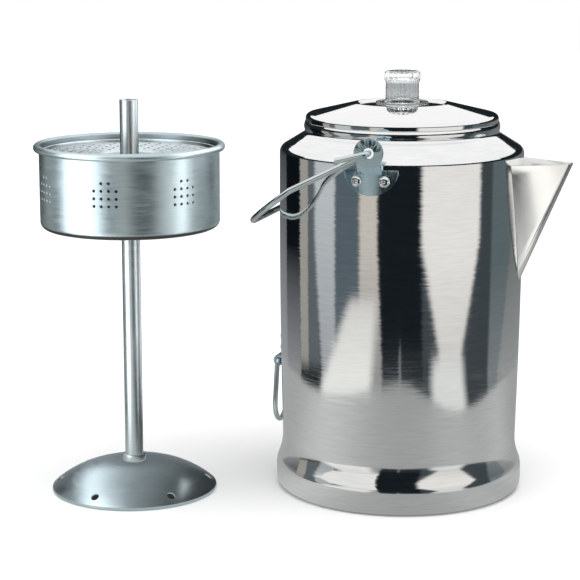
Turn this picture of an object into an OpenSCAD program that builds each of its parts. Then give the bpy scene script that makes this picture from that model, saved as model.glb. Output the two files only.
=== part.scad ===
// Camp coffee percolator: a bail-handled pot with its lid, and the pump that brews inside it.
// Millimetres, +Z up. The origin is the middle of the pot's base, +X points along the spout,
// and the bail turns about an axis along Y. The pump stands beside the pot, as when it is unpacked.

/* [Pot] */
// Outer diameter of the body below the shoulder
body_d = 165.3; // [150:0.1:180]
// Depth that the waist above the base flare draws in from the body, on each side
waist_in = 2.1; // [0.6:0.05:4]
// Width that the base band stands out from the body, on each side
base_out = 2.15; // [0.6:0.05:5]
// Height of the base band, bottom corner included
base_band_h = 13.5; // [9:0.5:16]
// Radius of the bottom corner
base_corner_r = 5.6; // [3:0.1:7]
// Height over which the base band flares into the waist
flare_h = 22; // [16:1:30]
// Share of the flare that is the lower, convex bend
flare_share = 0.32; // [0.2:0.01:0.6]
// Height over which the waist swells to the full body diameter
swell_h = 152.5; // [100:1:160]
// Height where the lines of the wall and the shoulder meet
body_h = 235; // [205:0.5:260]
// Radius of the shoulder corner
shoulder_r = 6; // [3:0.5:8]
// Rise of the shoulder cone in degrees
shoulder_slope = 31.5; // [22:0.5:36]
// Outer diameter of the neck
neck_d = 131.4; // [122:0.2:136]
// Height of the straight part of the neck
neck_h = 5.5; // [4:0.5:12]
// Radius where the shoulder turns up into the neck
neck_fillet_r = 2.5; // [1:0.5:4]
// Sheet thickness of the pot
pot_t = 1.2; // [0.8:0.1:2]

/* [Spout] */
// Height of the spout's rim below the shoulder line
spout_drop = 7; // [5:0.5:20]
// Reach of the spout beyond the body wall
spout_reach = 33.5; // [24:0.5:45]
// Height of the spout from its point to its rim
spout_h = 79; // [55:1:100]
// Width of the spout on the wall at its rim
spout_w = 47; // [34:0.5:54]
// Radius of the folded nose
spout_nose_r = 7.6; // [5:0.1:8.5]
// Sheet thickness of the spout
spout_t = 1.0; // [0.7:0.1:1.6]
// Diameter of the strainer holes behind the spout
strainer_d = 4.2; // [2.5:0.1:6]
// Spacing of the strainer holes
strainer_pitch = 7.5; // [7:0.5:12]

/* [Bail and ears] */
// Diameter of the bail wire
bail_d = 4; // [3:0.1:5]
// Length of the bail's straight arms
bail_arm_l = 60; // [50:0.5:64]
// Radius of the corners between arm and grip
bail_corner_r = 45; // [38:0.5:50]
// Further drop of the bow beyond the arms, in degrees
bail_set = 10; // [0:1:18]
// Drop of the resting arms below the level, in degrees
bail_rest = 26.5; // [20:0.5:27]
// Length of the hooked end that lies outside each ear
bail_hook_l = 22; // [14:0.5:28]
// Turn of the hooked end away from its arm, in degrees
bail_hook_turn = 12; // [0:1:20]
// Height of the bail pivot above the shoulder line
pivot_rise = 6; // [4:0.5:12]
// Thickness of the ear sheet
ear_t = 1.8; // [1.2:0.1:2.5]
// Width of the ear's riveted wing
ear_w = 35.6; // [30:0.2:42]
// Height of the ear's riveted wing
ear_h = 16.4; // [14:0.2:19]
// Height of the straight edge at each side of the wing
ear_edge_h = 3; // [1:0.5:4]
// Drop of the wing's top edge below the shoulder line
ear_drop = 5.5; // [5:0.5:10]
// Width of the ear's neck
ear_neck_w = 15.6; // [12:0.2:20]
// Diameter of the ear's round head
ear_head_d = 19.4; // [16:0.2:24]
// Diameter of the hole for the bail
ear_hole_d = 7; // [5.5:0.1:9]
// Spacing of the two rivets
ear_rivet_gap = 18.4; // [14:0.2:22]
// Depth of the rivets below the wing's top edge
ear_rivet_drop = 7; // [6:0.5:8]

/* [Rivets] */
// Diameter of a rivet shank
rivet_d = 3.2; // [2.4:0.1:4]
// Diameter of a rivet head
rivet_head_d = 7.4; // [5:0.1:7.8]
// Height of a rivet head
rivet_head_h = 1.7; // [1:0.1:2.5]
// Diameter of the dimple in a rivet head
rivet_dimple_d = 2.6; // [1:0.1:3]
// Height of the tail inside the pot
rivet_tail_h = 1.1; // [0.6:0.1:2]

/* [Tilting ring] */
// Diameter of the ring wire
ring_d = 3.4; // [2.5:0.1:4]
// Height of the ring's pivot above the base
ring_pivot_z = 81.5; // [70:1:110]
// Width of the ring across its round end
ring_w = 31; // [24:0.5:40]
// Width of the ring at its straight bar
ring_bar_w = 17; // [15:0.5:20]
// Height of the ring from its bar to its round end
ring_h = 45; // [34:0.5:50]
// Width of the bracket that holds the ring
bracket_w = 12; // [8:0.5:13]
// Height of the bracket plate above the ring's pivot
bracket_h = 21; // [20:0.5:28]
// Sheet thickness of the bracket
bracket_t = 1.8; // [1.2:0.1:2]
// Height of the bracket's lower rivet above the ring's pivot
bracket_rivet_rise = 9; // [8:0.5:9]
// Spacing of the bracket's two rivets
bracket_rivet_gap = 8; // [7:0.5:8.5]

/* [Lid] */
// Inset of the lid band from the outside of the neck
lid_inset = 0.5; // [0.2:0.1:0.6]
// Height of the lid band up to its corner
lid_band_h = 5.6; // [5:0.1:9]
// Radius of the corner above the band
lid_corner_r = 3.2; // [2:0.1:4]
// Rise of the lid dome in degrees
lid_slope = 13.5; // [8:0.5:20]
// Diameter of the recess round the knob
lid_recess_d = 62.4; // [52:0.2:66]
// Depth of the recess
lid_recess_h = 1.8; // [1.6:0.1:3.5]
// Depth of the skirt inside the mouth
lid_skirt_h = 5.5; // [4:0.5:9]
// Sheet thickness of the lid
lid_t = 0.9; // [0.7:0.1:1.2]

/* [Knob] */
// Diameter of the knob body
knob_d = 22.6; // [20:0.2:28]
// Height of the knob from the recess floor
knob_h = 22.6; // [18:0.2:30]
// Diameter of the fluted head
knob_head_d = 24.6; // [23:0.2:32]
// Height of the fluted head
knob_head_h = 6.8; // [5:0.2:9]
// Flutes round the head
knob_flutes = 20; // [12:1:30]
// Diameter of one flute
knob_flute_d = 2.2; // [1.4:0.1:2.8]
// Diameter of the flange that sits in the recess
knob_flange_d = 36; // [32:0.5:46]
// Thickness of the flange
knob_flange_h = 2.2; // [1.5:0.1:3]
// Glass thickness of the body
knob_wall = 2.6; // [2:0.1:3.2]
// Reach of each bayonet lug past the stub
knob_lug = 3; // [2:0.1:4]
// Width of a bayonet lug
knob_lug_w = 7; // [4:0.5:9]
// Height of a bayonet lug
knob_lug_h = 2; // [1.5:0.1:3]

/* [Pump stem and foot] */
// Distance of the pump from the pot's axis along X
pump_x = -171; // [-190:1:-171]
// Distance of the pump from the pot's axis along Y
pump_y = -68; // [-110:1:-66]
// Outer diameter of the stem tube
stem_d = 12.4; // [9:0.1:13]
// Wall of the stem tube
stem_t = 0.8; // [0.5:0.1:1.5]
// Gap between the stem's top and the knob's roof when the pump stands in the pot
stem_gap = 12.5; // [8:0.5:18]
// Diameter of the foot
foot_d = 113; // [90:1:124]
// Height of the foot up to its flat land
foot_h = 19; // [16:0.5:28]
// Height of the straight rim under the dome
foot_rim_h = 2; // [1:0.5:4]
// Sheet thickness of the foot
foot_t = 1.0; // [0.7:0.1:1.5]
// Diameter of the foot's flat land
foot_land_d = 22; // [20:0.5:28]
// Holes round the foot
foot_holes = 6; // [4:1:8]
// Diameter of the foot's holes
foot_hole_d = 5.6; // [4:0.1:7]
// Inset of those holes from the rim
foot_hole_inset = 5.5; // [4.5:0.5:12]
// Turn of the first hole about the stem, in degrees
foot_hole_turn = 20; // [0:1:60]
// Outer diameter of the collar above the foot
collar_d = 15.8; // [14:0.1:19]
// Height of that collar
collar_h = 5; // [3:0.5:8]
// Outer diameter of the basket's stop on the stem
stop_d = 19; // [17:0.5:24]
// Height of that stop
stop_h = 4; // [2:0.5:6]

/* [Basket] */
// Gap between the basket's rolled rim and the pot's mouth
basket_gap = 0.3; // [0.2:0.1:5]
// Diameter of the rolled edge itself
basket_roll_d = 5; // [4:0.1:6]
// Height of the basket, rolled edge included
basket_h = 57; // [44:0.5:66]
// Gap between the basket's rim and the lid's skirt when the pump stands in the pot
skirt_gap = 6; // [2:0.5:16]
// Radius of the bottom corner
basket_corner_r = 5; // [3:0.5:8]
// Sheet thickness of the basket
basket_t = 0.9; // [0.7:0.1:1.2]
// Diameter of the perforations
basket_hole_d = 2.2; // [1.4:0.1:2.8]
// Groups of holes round the wall
basket_groups = 7; // [4:1:8]
// Spacing of the holes in a group
basket_hole_pitch = 5; // [4:0.1:6]
// Turn of the first group, in degrees
basket_group_turn = 19; // [0:1:60]
// Depth of each group's top row below the rim
basket_hole_drop = 19.5; // [15:0.5:24]
// Rings of holes in the basket's floor
basket_floor_rings = 4; // [2:1:5]
// Spacing of the holes in the floor
basket_floor_pitch = 9; // [7:0.5:12]
// Wall of the basket's centre sleeve
sleeve_t = 1.0; // [0.7:0.1:1.5]
// Diameter of the sleeve's flange and lip
sleeve_flange_d = 22; // [20:0.5:28]

/* [Spreader] */
// Depth of the spreader's floor below the basket's rim
spreader_drop = 8; // [6:0.5:12]
// Height of the spreader's turned-up edge
spreader_edge_h = 3.5; // [2:0.5:5]
// Sheet thickness of the spreader
spreader_t = 0.8; // [0.6:0.1:1.2]
// Diameter of the flat land round the stem
spreader_land_d = 34; // [26:0.5:44]
// Depth of that land below the spreader's floor
spreader_land_drop = 1.2; // [0.8:0.1:2]
// Ripples between the land and the edge
spreader_ripples = 5; // [3:1:7]
// Height of a ripple
spreader_ripple_h = 0.5; // [0.3:0.1:0.8]
// Diameter of the spreader's holes
spreader_hole_d = 1.9; // [1.2:0.1:2.4]
// Spacing of the spreader's holes
spreader_hole_pitch = 8; // [6:0.5:11]

/* [Clearances] */
// Gap between sheets that are seated on each other
seat = 0.05; // [0.03:0.01:0.1]
// Gap round a shank or a pressed ring
press = 0.04; // [0.02:0.01:0.08]
// Gap beside a part that lifts out
lift = 0.4; // [0.3:0.05:0.6]
// Gap between the bail and what it passes
bail_gap = 0.4; // [0.3:0.05:0.8]
// Gap round the tilting ring's bar
ring_gap = 0.3; // [0.2:0.05:0.5]

/* [Hidden] */
$fn = 64;
ARC_STEPS = 6;
SWELL_STEPS = 8;
EPS = 0.01;

// Pot
body_r = body_d / 2;
waist_r = body_r - waist_in;
base_r = body_r + base_out;
floor_r = base_r - base_corner_r;
neck_r = neck_d / 2;
waist_z = base_band_h + flare_h;
swell_z = waist_z + swell_h;
flare_turn = 2 * atan((base_r - waist_r) / flare_h);
flare_bend = flare_h / sin(flare_turn);
flare_low_r = flare_bend * flare_share;
flare_high_r = flare_bend - flare_low_r;
swell_r = (swell_h * swell_h + waist_in * waist_in) / (2 * waist_in);
shoulder_turn = 90 - shoulder_slope;
corner_z = body_h - shoulder_r * tan(shoulder_turn / 2);
cone_low_r = body_r - shoulder_r + shoulder_r * cos(shoulder_turn);
cone_low_z = corner_z + shoulder_r * sin(shoulder_turn);
cone_high_r = neck_r + neck_fillet_r * (1 - sin(shoulder_slope));
cone_high_z = cone_low_z + (cone_low_r - cone_high_r) * tan(shoulder_slope);
neck_z = cone_high_z + neck_fillet_r * cos(shoulder_slope);
mouth_z = neck_z + neck_h;
mouth_r = neck_r - pot_t;

// Spout
spout_z = body_h - spout_drop;
spout_low_z = spout_z - spout_h;
spout_tip_x = body_r + spout_reach - spout_nose_r;
spout_low_x = body_r - spout_nose_r;
spout_lean = atan(spout_reach / spout_h);
spout_depth = (spout_tip_x - sqrt(body_r * body_r - pow(spout_w / 2, 2))) * cos(spout_lean);
spout_span = norm([spout_w / 2, spout_depth]);
spout_fold = acos(spout_nose_r / spout_span) - atan2(spout_depth, spout_w / 2);
spout_run = spout_span + 4 * spout_nose_r;

// Bail and ears
bail_r = bail_d / 2;
pivot_z = body_h + pivot_rise;
arm_y = body_r + bail_gap + bail_r;
tab_y = arm_y + bail_r + bail_gap;
hook_y = tab_y + ear_t + bail_gap + bail_r;
grip_l = 2 * (arm_y - bail_corner_r);
wing_in_r = body_r + seat;
wing_out_r = wing_in_r + ear_t;
wing_top_z = body_h - ear_drop;
ear_rivet_z = wing_top_z - ear_rivet_drop;
ear_rivet_turn = asin(ear_rivet_gap / 2 / wing_out_r);
JOGGLE_FOOT = 2.5;
JOGGLE_RISE = 3.5;
JOINT_BEAD = 0.05;

// Rivets
rivet_r = rivet_d / 2;
RIVET_SEAT = 0.1;
RIVET_TAIL_GROWTH = 1.6;

// Tilting ring
ring_r = ring_d / 2;
bracket_x = wall_r(ring_pivot_z + bracket_h) + seat;
knuckle_in_r = ring_r + ring_gap;
knuckle_out_r = knuckle_in_r + bracket_t;
ring_x = -(bracket_x + knuckle_out_r);
ring_bend_r = ring_w / 2 - ring_r;
ring_bend_z = ring_pivot_z - ring_h + ring_r + ring_bend_r;
ring_bar_y = ring_bar_w / 2;
ring_side = norm([ring_bar_y, ring_pivot_z - ring_bend_z]);
ring_touch = atan2(ring_pivot_z - ring_bend_z, ring_bar_y) - acos(ring_bend_r / ring_side);
bracket_rivet_z = ring_pivot_z + bracket_rivet_rise;

// Lid
lid_r = neck_r - lid_inset;
lid_z = mouth_z + seat;
lid_skirt_r = mouth_r - lift;
lid_corner_z = lid_z + lid_band_h - lid_corner_r;
lid_turn = 90 - lid_slope;
lid_dome_r = lid_r - lid_corner_r + lid_corner_r * cos(lid_turn);
lid_dome_z = lid_corner_z + lid_corner_r * sin(lid_turn);
lid_rim_r = lid_recess_d / 2;
lid_rim_z = lid_dome_z + (lid_dome_r - lid_rim_r) * tan(lid_slope);
lid_floor_z = lid_rim_z - lid_recess_h;

// Knob
knob_r = knob_d / 2;
knob_z = lid_floor_z + seat;
knob_top_z = knob_z + knob_h;
knob_bore_r = knob_r - knob_wall;
knob_lug_r = knob_r + knob_lug;
lid_hole_r = knob_r + lift;
knob_lug_top_z = lid_floor_z - lid_t - lift;
KNOB_EDGE = 1.2;
KNOB_ROOF = 4;
LUG_ANGLE = 90;

// Pump
STEM_FLARE = 2.7;
stem_r = stem_d / 2;
stem_bore_r = stem_r - stem_t;
stem_h = knob_top_z - KNOB_ROOF - pot_t - stem_gap;
foot_r = foot_d / 2;
foot_hole_r = stem_r + press;
foot_land_r = foot_land_d / 2;
foot_flare_r = stem_r + STEM_FLARE;
foot_dome_w = foot_r - foot_land_r;
foot_dome_h = foot_h - foot_rim_h;
foot_dome_r = (foot_dome_w * foot_dome_w + foot_dome_h * foot_dome_h) / (2 * foot_dome_h);
foot_dome_turn = asin(foot_dome_w / foot_dome_r);
foot_drill_r = foot_r - foot_hole_inset;
foot_drill_turn = asin((foot_drill_r - foot_land_r) / foot_dome_r);
foot_drill_z = foot_h - foot_dome_r * (1 - cos(foot_drill_turn));
collar_z = foot_h + seat;
stem_low_z = foot_h - foot_t - seat - foot_t;

// Basket
basket_top_z = mouth_z - lid_skirt_h - pot_t - skirt_gap;
basket_z = basket_top_z - basket_h;
basket_roll_r = basket_roll_d / 2;
basket_roll_at = mouth_r - basket_gap - basket_roll_r;
basket_roll_z = basket_top_z - basket_roll_r;
basket_r = basket_roll_at - basket_roll_r / 2;
basket_in_r = basket_r - basket_t;
sleeve_in_r = stem_r + lift;
sleeve_out_r = sleeve_in_r + sleeve_t;
sleeve_flange_r = sleeve_flange_d / 2;
basket_hub_r = sleeve_out_r + press;
stop_z = basket_z - seat - stop_h;
floor_first_r = sleeve_flange_r + basket_floor_pitch / 2;
HOLE_ROWS = [2, 4, 4, 4];

// Spreader
spreader_r = min(basket_in_r, basket_roll_at - basket_roll_r) - lift;
spreader_z = basket_top_z - spreader_drop;
spreader_land_r = spreader_land_d / 2;
spreader_land_z = spreader_z - spreader_land_drop;
spreader_hub_r = stem_r + lift;
sleeve_top_z = spreader_land_z - seat;
ripple_w = (spreader_r - spreader_t - spreader_land_r) / (2 * spreader_ripples + 1);

// Points along an arc in a profile, from angle a to angle b
function arc(centre, r, a, b, steps = ARC_STEPS) =
    [for (i = [0 : steps]) centre + r * [cos(a + (b - a) * i / steps), sin(a + (b - a) * i / steps)]];

function reverse(points) = [for (i = [len(points) - 1 : -1 : 0]) points[i]];

// Outer radius of the pot's straight wall at a height
function wall_r(z) =
    z >= swell_z ? body_r : body_r - swell_r + sqrt(swell_r * swell_r - pow(swell_z - z, 2));

// Profile of the pot, drawn in by the sheet thickness t (0 is the outer face), from floor to mouth
function pot_line(t) = concat(
    arc([floor_r, base_corner_r], base_corner_r - t, -90, 0),
    arc([base_r - flare_low_r, base_band_h], flare_low_r - t, 0, flare_turn),
    arc([waist_r + flare_high_r, waist_z], flare_high_r + t, 180 + flare_turn, 180),
    arc([body_r - swell_r, swell_z], swell_r - t, -asin((swell_h - EPS) / swell_r), 0, SWELL_STEPS),
    arc([body_r - shoulder_r, corner_z], shoulder_r - t, 0, shoulder_turn),
    arc([neck_r + neck_fillet_r, neck_z], neck_fillet_r + t, 270 - shoulder_slope, 180),
    [[neck_r - t, mouth_z]]
);

// The pot's outer form as a filled body, grown by a seating gap
module pot_form(gap) {
    rotate_extrude() polygon(concat([[0, -gap]], pot_line(-gap), [[0, mouth_z]]));
}

// Half width of the spout on the wall at a height
function spout_half(z) = spout_nose_r + (spout_w / 2 - spout_nose_r) * (z - spout_low_z) / spout_h;

// One face of the folded sheet, square to the nose line, with the nose rounded to radius r
function vee_line(r) = concat(
    [[r * sin(spout_fold) - spout_run * cos(spout_fold), r * cos(spout_fold) + spout_run * sin(spout_fold)]],
    arc([0, 0], r, 90 - spout_fold, spout_fold - 90),
    [[r * sin(spout_fold) - spout_run * cos(spout_fold), -r * cos(spout_fold) - spout_run * sin(spout_fold)]]
);

// A rivet along +Z: its head stands on z = 0, its shank goes down through grip millimetres
module rivet(grip) {
    dimple_r = rivet_dimple_d / 2;
    head_r = rivet_head_d / 2;
    rotate_extrude() polygon(concat(
        [[0, -grip - rivet_tail_h], [rivet_r * RIVET_TAIL_GROWTH, -grip - rivet_tail_h],
         [rivet_r * RIVET_TAIL_GROWTH, -grip], [rivet_r, -grip], [rivet_r, 0], [head_r, 0]],
        [for (a = [15 : 15 : 60]) [dimple_r + (head_r - dimple_r) * cos(a), rivet_head_h * sin(a)]],
        [[dimple_r, rivet_head_h], [dimple_r / 2, rivet_head_h / 2], [0, rivet_head_h / 2]]
    ));
}

// Puts its child, drawn along +Z, on the ear's two rivet axes at radius r
module at_ear_rivets(r) {
    for (side = [-1, 1])
        rotate([0, 0, side * ear_rivet_turn])
            translate([0, -r, ear_rivet_z]) rotate([90, 0, 0]) children();
}

// Puts its child, drawn along +Z, on the ring bracket's two rivet axes at distance x
module at_bracket_rivets(x) {
    for (i = [0, 1])
        translate([-x, 0, bracket_rivet_z + i * bracket_rivet_gap]) rotate([0, -90, 0]) children();
}

module turned_to_rear() {
    rotate([0, 0, 180]) children();
}

module strainer_holes() {
    rows = floor((spout_h - 3 * strainer_pitch) / strainer_pitch);
    for (row = [0 : rows - 1]) {
        z = spout_z - (row + 1.2) * strainer_pitch;
        count = max(1, floor((2 * spout_half(z) - strainer_pitch) / strainer_pitch));
        for (i = [0 : count - 1])
            translate([0, (i - (count - 1) / 2) * strainer_pitch, z])
                rotate([0, 90, 0]) cylinder(d = strainer_d, h = base_r);
    }
}

module pot_shell() color("gainsboro") {
    shank = rivet_r + press;
    difference() {
        rotate_extrude() polygon(concat(pot_line(0), reverse(pot_line(pot_t))));
        strainer_holes();
        at_ear_rivets(body_r - 2 * pot_t) cylinder(r = shank, h = 4 * pot_t);
        turned_to_rear() at_ear_rivets(body_r - 2 * pot_t) cylinder(r = shank, h = 4 * pot_t);
        at_bracket_rivets(waist_r - 2 * pot_t) cylinder(r = shank, h = base_r - waist_r + 4 * pot_t);
    }
}

// The flat of the pot's base, inside the bottom corner
module pot_floor() color("gainsboro") {
    cylinder(r = floor_r - press, h = pot_t);
}

module spout() color("whitesmoke") {
    overrun = spout_nose_r * 4;
    difference() {
        translate([spout_low_x, 0, spout_low_z]) rotate([0, spout_lean, 0]) translate([0, 0, -overrun])
            linear_extrude(norm([spout_h, spout_reach]) + 2 * overrun)
                polygon(concat(vee_line(spout_nose_r), reverse(vee_line(spout_nose_r - spout_t))));
        pot_form(seat);
        translate([0, -spout_w, spout_z]) cube([2 * base_r, 2 * spout_w, 2 * base_r]);
    }
}

// Outline of the ear's wing seen from outside: a flat top with a round bottom
module wing_outline() {
    sag = ear_h - ear_edge_h;
    round_r = (pow(ear_w / 2, 2) + sag * sag) / (2 * sag);
    intersection() {
        translate([0, wing_top_z - ear_h + round_r]) circle(r = round_r);
        translate([-ear_w / 2, wing_top_z - ear_h]) square([ear_w, ear_h]);
    }
}

// The ear's neck in side view: up from the wing, out over the joggle, and up to the pivot
module joggle_outline() {
    foot_z = wing_top_z - JOGGLE_FOOT;
    polygon([[wing_in_r, foot_z], [wing_in_r + ear_t, foot_z], [tab_y + ear_t, wing_top_z + JOGGLE_RISE],
        [tab_y + ear_t, pivot_z], [tab_y, pivot_z], [tab_y, wing_top_z + JOGGLE_RISE + EPS]]);
}

module ear() {
    difference() {
        union() {
            intersection() {
                difference() {
                    cylinder(r = wing_out_r, h = body_h);
                    translate([0, 0, -EPS]) cylinder(r = wing_in_r, h = body_h + 2 * EPS);
                }
                rotate([90, 0, 0]) linear_extrude(body_d) wing_outline();
            }
            translate([ear_neck_w / 2, 0, 0]) rotate([90, 0, -90])
                linear_extrude(ear_neck_w) joggle_outline();
            translate([0, -tab_y, pivot_z]) rotate([90, 0, 0]) cylinder(d = ear_head_d, h = ear_t);
        }
        translate([0, -tab_y + ear_t, pivot_z]) rotate([90, 0, 0]) cylinder(d = ear_hole_d, h = 3 * ear_t);
        at_ear_rivets(body_r - ear_t) cylinder(r = rivet_r + press, h = 3 * ear_t);
    }
}

module ear_rivets() {
    at_ear_rivets(wing_out_r + RIVET_SEAT) rivet(ear_t + seat + pot_t + 2 * RIVET_SEAT);
}

module front_ear() color("lightsteelblue") ear();
module rear_ear() color("lightsteelblue") turned_to_rear() ear();
module front_ear_rivets() color("silver") ear_rivets();
module rear_ear_rivets() color("silver") turned_to_rear() ear_rivets();

// A round wire from the origin along +X
module wire(r, length) {
    rotate([0, 90, 0]) cylinder(r = r, h = length);
}

// A wire bent round an arc in the XY plane about the origin
module wire_bend(r, bend_r, from, turn) {
    rotate([0, 0, from]) rotate_extrude(angle = turn) translate([bend_r, 0]) circle(r = r);
}

// The wire is a hair fuller at its joints, so that neighbouring bends run into each other
module joint_bead(r) {
    sphere(r = r + JOINT_BEAD);
}

// The same where a wire along +X turns square, into the direction that turn degrees halves
module corner_bead(r, turn) {
    rotate([0, 0, turn]) rotate([90, 0, 0]) joint_bead(r);
}

// The same between two wires that run on along X
module line_bead(r) {
    rotate([0, 90, 0]) joint_bead(r);
}

// One side of the bail in its own plane: +X runs from the pivot to the grip, side is -1 or 1
module bail_arm(side) {
    translate([0, side * arm_y, 0]) {
        wire(bail_r, bail_arm_l);
        corner_bead(bail_r, side * 45);
        rotate([0, 0, side * 90]) wire(bail_r, hook_y - arm_y);
    }
    translate([bail_arm_l, side * arm_y, 0]) line_bead(bail_r);
    translate([0, side * hook_y, 0]) rotate([0, -bail_hook_turn, 0]) {
        corner_bead(bail_r, -side * 45);
        wire(bail_r, bail_hook_l);
    }
}

// The bow from arm to arm: two round corners and the straight grip
module bail_bow() {
    for (side = [-1, 1]) {
        translate([0, side * grip_l / 2, 0]) wire_bend(bail_r, bail_corner_r, 0, side * 90);
        translate([bail_corner_r, side * grip_l / 2, 0]) rotate([0, 0, 90]) line_bead(bail_r);
    }
    translate([bail_corner_r, -grip_l / 2, 0]) rotate([0, 0, 90]) wire(bail_r, grip_l);
}

module bail() color("slategray") {
    translate([0, 0, pivot_z]) rotate([0, bail_rest, 180]) {
        for (side = [-1, 1]) bail_arm(side);
        translate([bail_arm_l, 0, 0]) rotate([0, bail_set, 0]) bail_bow();
    }
}

module ring_bracket() color("lightsteelblue") {
    difference() {
        union() {
            translate([-bracket_x - bracket_t, -bracket_w / 2, ring_pivot_z])
                cube([bracket_t, bracket_w, bracket_h]);
            translate([ring_x, bracket_w / 2, ring_pivot_z]) rotate([90, 0, 0])
                cylinder(r = knuckle_out_r, h = bracket_w);
        }
        translate([ring_x, bracket_w, ring_pivot_z]) rotate([90, 0, 0])
            cylinder(r = knuckle_in_r, h = 2 * bracket_w);
        at_bracket_rivets(bracket_x - bracket_t) cylinder(r = rivet_r + press, h = 3 * bracket_t);
    }
}

module ring_bracket_rivets() color("silver") {
    tail_x = wall_r(bracket_rivet_z - rivet_head_d) - pot_t - RIVET_SEAT;
    grip = bracket_x + bracket_t + RIVET_SEAT - tail_x;
    at_bracket_rivets(bracket_x + bracket_t + RIVET_SEAT) rivet(grip);
}

module tilting_ring() color("slategray") {
    side_l = sqrt(ring_side * ring_side - ring_bend_r * ring_bend_r);
    translate([ring_x, 0, 0]) rotate([0, 0, 90]) rotate([90, 0, 0]) {
        translate([-ring_bar_y, ring_pivot_z, 0]) wire(ring_r, ring_bar_w);
        for (side = [0, 1]) mirror([side, 0, 0]) {
            translate([ring_bar_y, ring_pivot_z, 0]) {
                joint_bead(ring_r);
                rotate([0, 0, ring_touch - 90]) wire(ring_r, side_l);
            }
            translate([0, ring_bend_z, 0]) rotate([0, 0, ring_touch]) translate([ring_bend_r, 0, 0])
                joint_bead(ring_r);
        }
        translate([0, ring_bend_z, 0]) wire_bend(ring_r, ring_bend_r, ring_touch, -180 - 2 * ring_touch);
    }
}

// Half section of the lid's sheet, from the foot of the skirt over the dome to the knob's hole
module lid_section() {
    skirt_in = lid_skirt_r - lid_t;
    polygon(concat(
        [[lid_skirt_r, mouth_z - lid_skirt_h], [lid_skirt_r, lid_z], [lid_r, lid_z]],
        arc([lid_r - lid_corner_r, lid_corner_z], lid_corner_r, 0, lid_turn),
        [[lid_rim_r, lid_rim_z], [lid_rim_r - lid_recess_h, lid_floor_z], [lid_hole_r, lid_floor_z],
         [lid_hole_r, lid_floor_z - lid_t], [lid_rim_r - lid_recess_h + lid_t / 2, lid_floor_z - lid_t],
         [lid_rim_r + lid_t / 2, lid_rim_z - lid_t - lid_t / 2 * tan(lid_slope)]],
        arc([lid_r - lid_corner_r, lid_corner_z], lid_corner_r - lid_t, lid_turn, 0),
        [[lid_r - lid_t, lid_z + lid_t], [skirt_in, lid_z + lid_t], [skirt_in, mouth_z - lid_skirt_h]]
    ));
}

// The pair of bayonet lugs, or with a gap the notches that pass them
module lugs(z, h, gap) {
    intersection() {
        translate([0, 0, z]) cylinder(r = knob_lug_r + gap, h = h);
        translate([0, 0, z + h / 2]) cube([2 * (knob_lug_r + gap), knob_lug_w + 2 * gap, h], center = true);
    }
}

module lid() color("white") {
    difference() {
        rotate_extrude() lid_section();
        rotate([0, 0, LUG_ANGLE]) lugs(lid_floor_z - 2 * lid_t, 3 * lid_t, lift);
    }
}

// Half section of the knob's outside, with its flange and fluted head
module knob_section() {
    head_r = knob_head_d / 2;
    head_z = knob_top_z - knob_head_h;
    polygon([[0, knob_lug_top_z - knob_lug_h], [knob_r, knob_lug_top_z - knob_lug_h], [knob_r, knob_z],
        [knob_flange_d / 2, knob_z], [knob_flange_d / 2, knob_z + knob_flange_h / 2],
        [knob_flange_d / 2 - knob_flange_h, knob_z + knob_flange_h], [knob_r, knob_z + knob_flange_h],
        [knob_r, head_z], [head_r, head_z + KNOB_EDGE], [head_r, knob_top_z - KNOB_EDGE],
        [head_r - KNOB_EDGE, knob_top_z], [0, knob_top_z]]);
}

module knob() color("azure", 0.5) {
    head_z = knob_top_z - knob_head_h;
    bore_h = knob_top_z - KNOB_ROOF - (knob_lug_top_z - knob_lug_h);
    difference() {
        union() {
            rotate_extrude() knob_section();
            lugs(knob_lug_top_z - knob_lug_h, knob_lug_h, 0);
        }
        translate([0, 0, knob_lug_top_z - knob_lug_h - EPS]) cylinder(r = knob_bore_r, h = bore_h);
        for (i = [0 : knob_flutes - 1]) rotate([0, 0, i * 360 / knob_flutes])
            translate([knob_head_d / 2 + knob_flute_d / 4, 0, head_z - EPS])
                cylinder(d = knob_flute_d, h = knob_head_h - KNOB_EDGE);
    }
}

// Stands its children on the pump's axis
module at_pump() {
    translate([pump_x, pump_y, 0]) children();
}

// A flat ring from z to z + h
module ring_band(in_r, out_r, z, h) {
    translate([0, 0, z]) difference() {
        cylinder(r = out_r, h = h);
        translate([0, 0, -h]) cylinder(r = in_r, h = 3 * h);
    }
}

module stem_tube() color("lightgray") at_pump() {
    ring_band(stem_bore_r, stem_r, stem_low_z, stem_h - stem_low_z);
    ring_band(stem_bore_r, foot_flare_r, stem_low_z, foot_t);
}

// A pressed collar with rounded edges
module foot_collar() color("silver") at_pump() {
    edge = (collar_d / 2 - foot_hole_r) / 2;
    rotate_extrude() polygon(concat(
        [[foot_hole_r, collar_z], [collar_d / 2 - edge, collar_z]],
        arc([collar_d / 2 - edge, collar_z + edge], edge, -90, 0),
        arc([collar_d / 2 - edge, collar_z + collar_h - edge], edge, 0, 90),
        [[foot_hole_r, collar_z + collar_h]]
    ));
}

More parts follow.
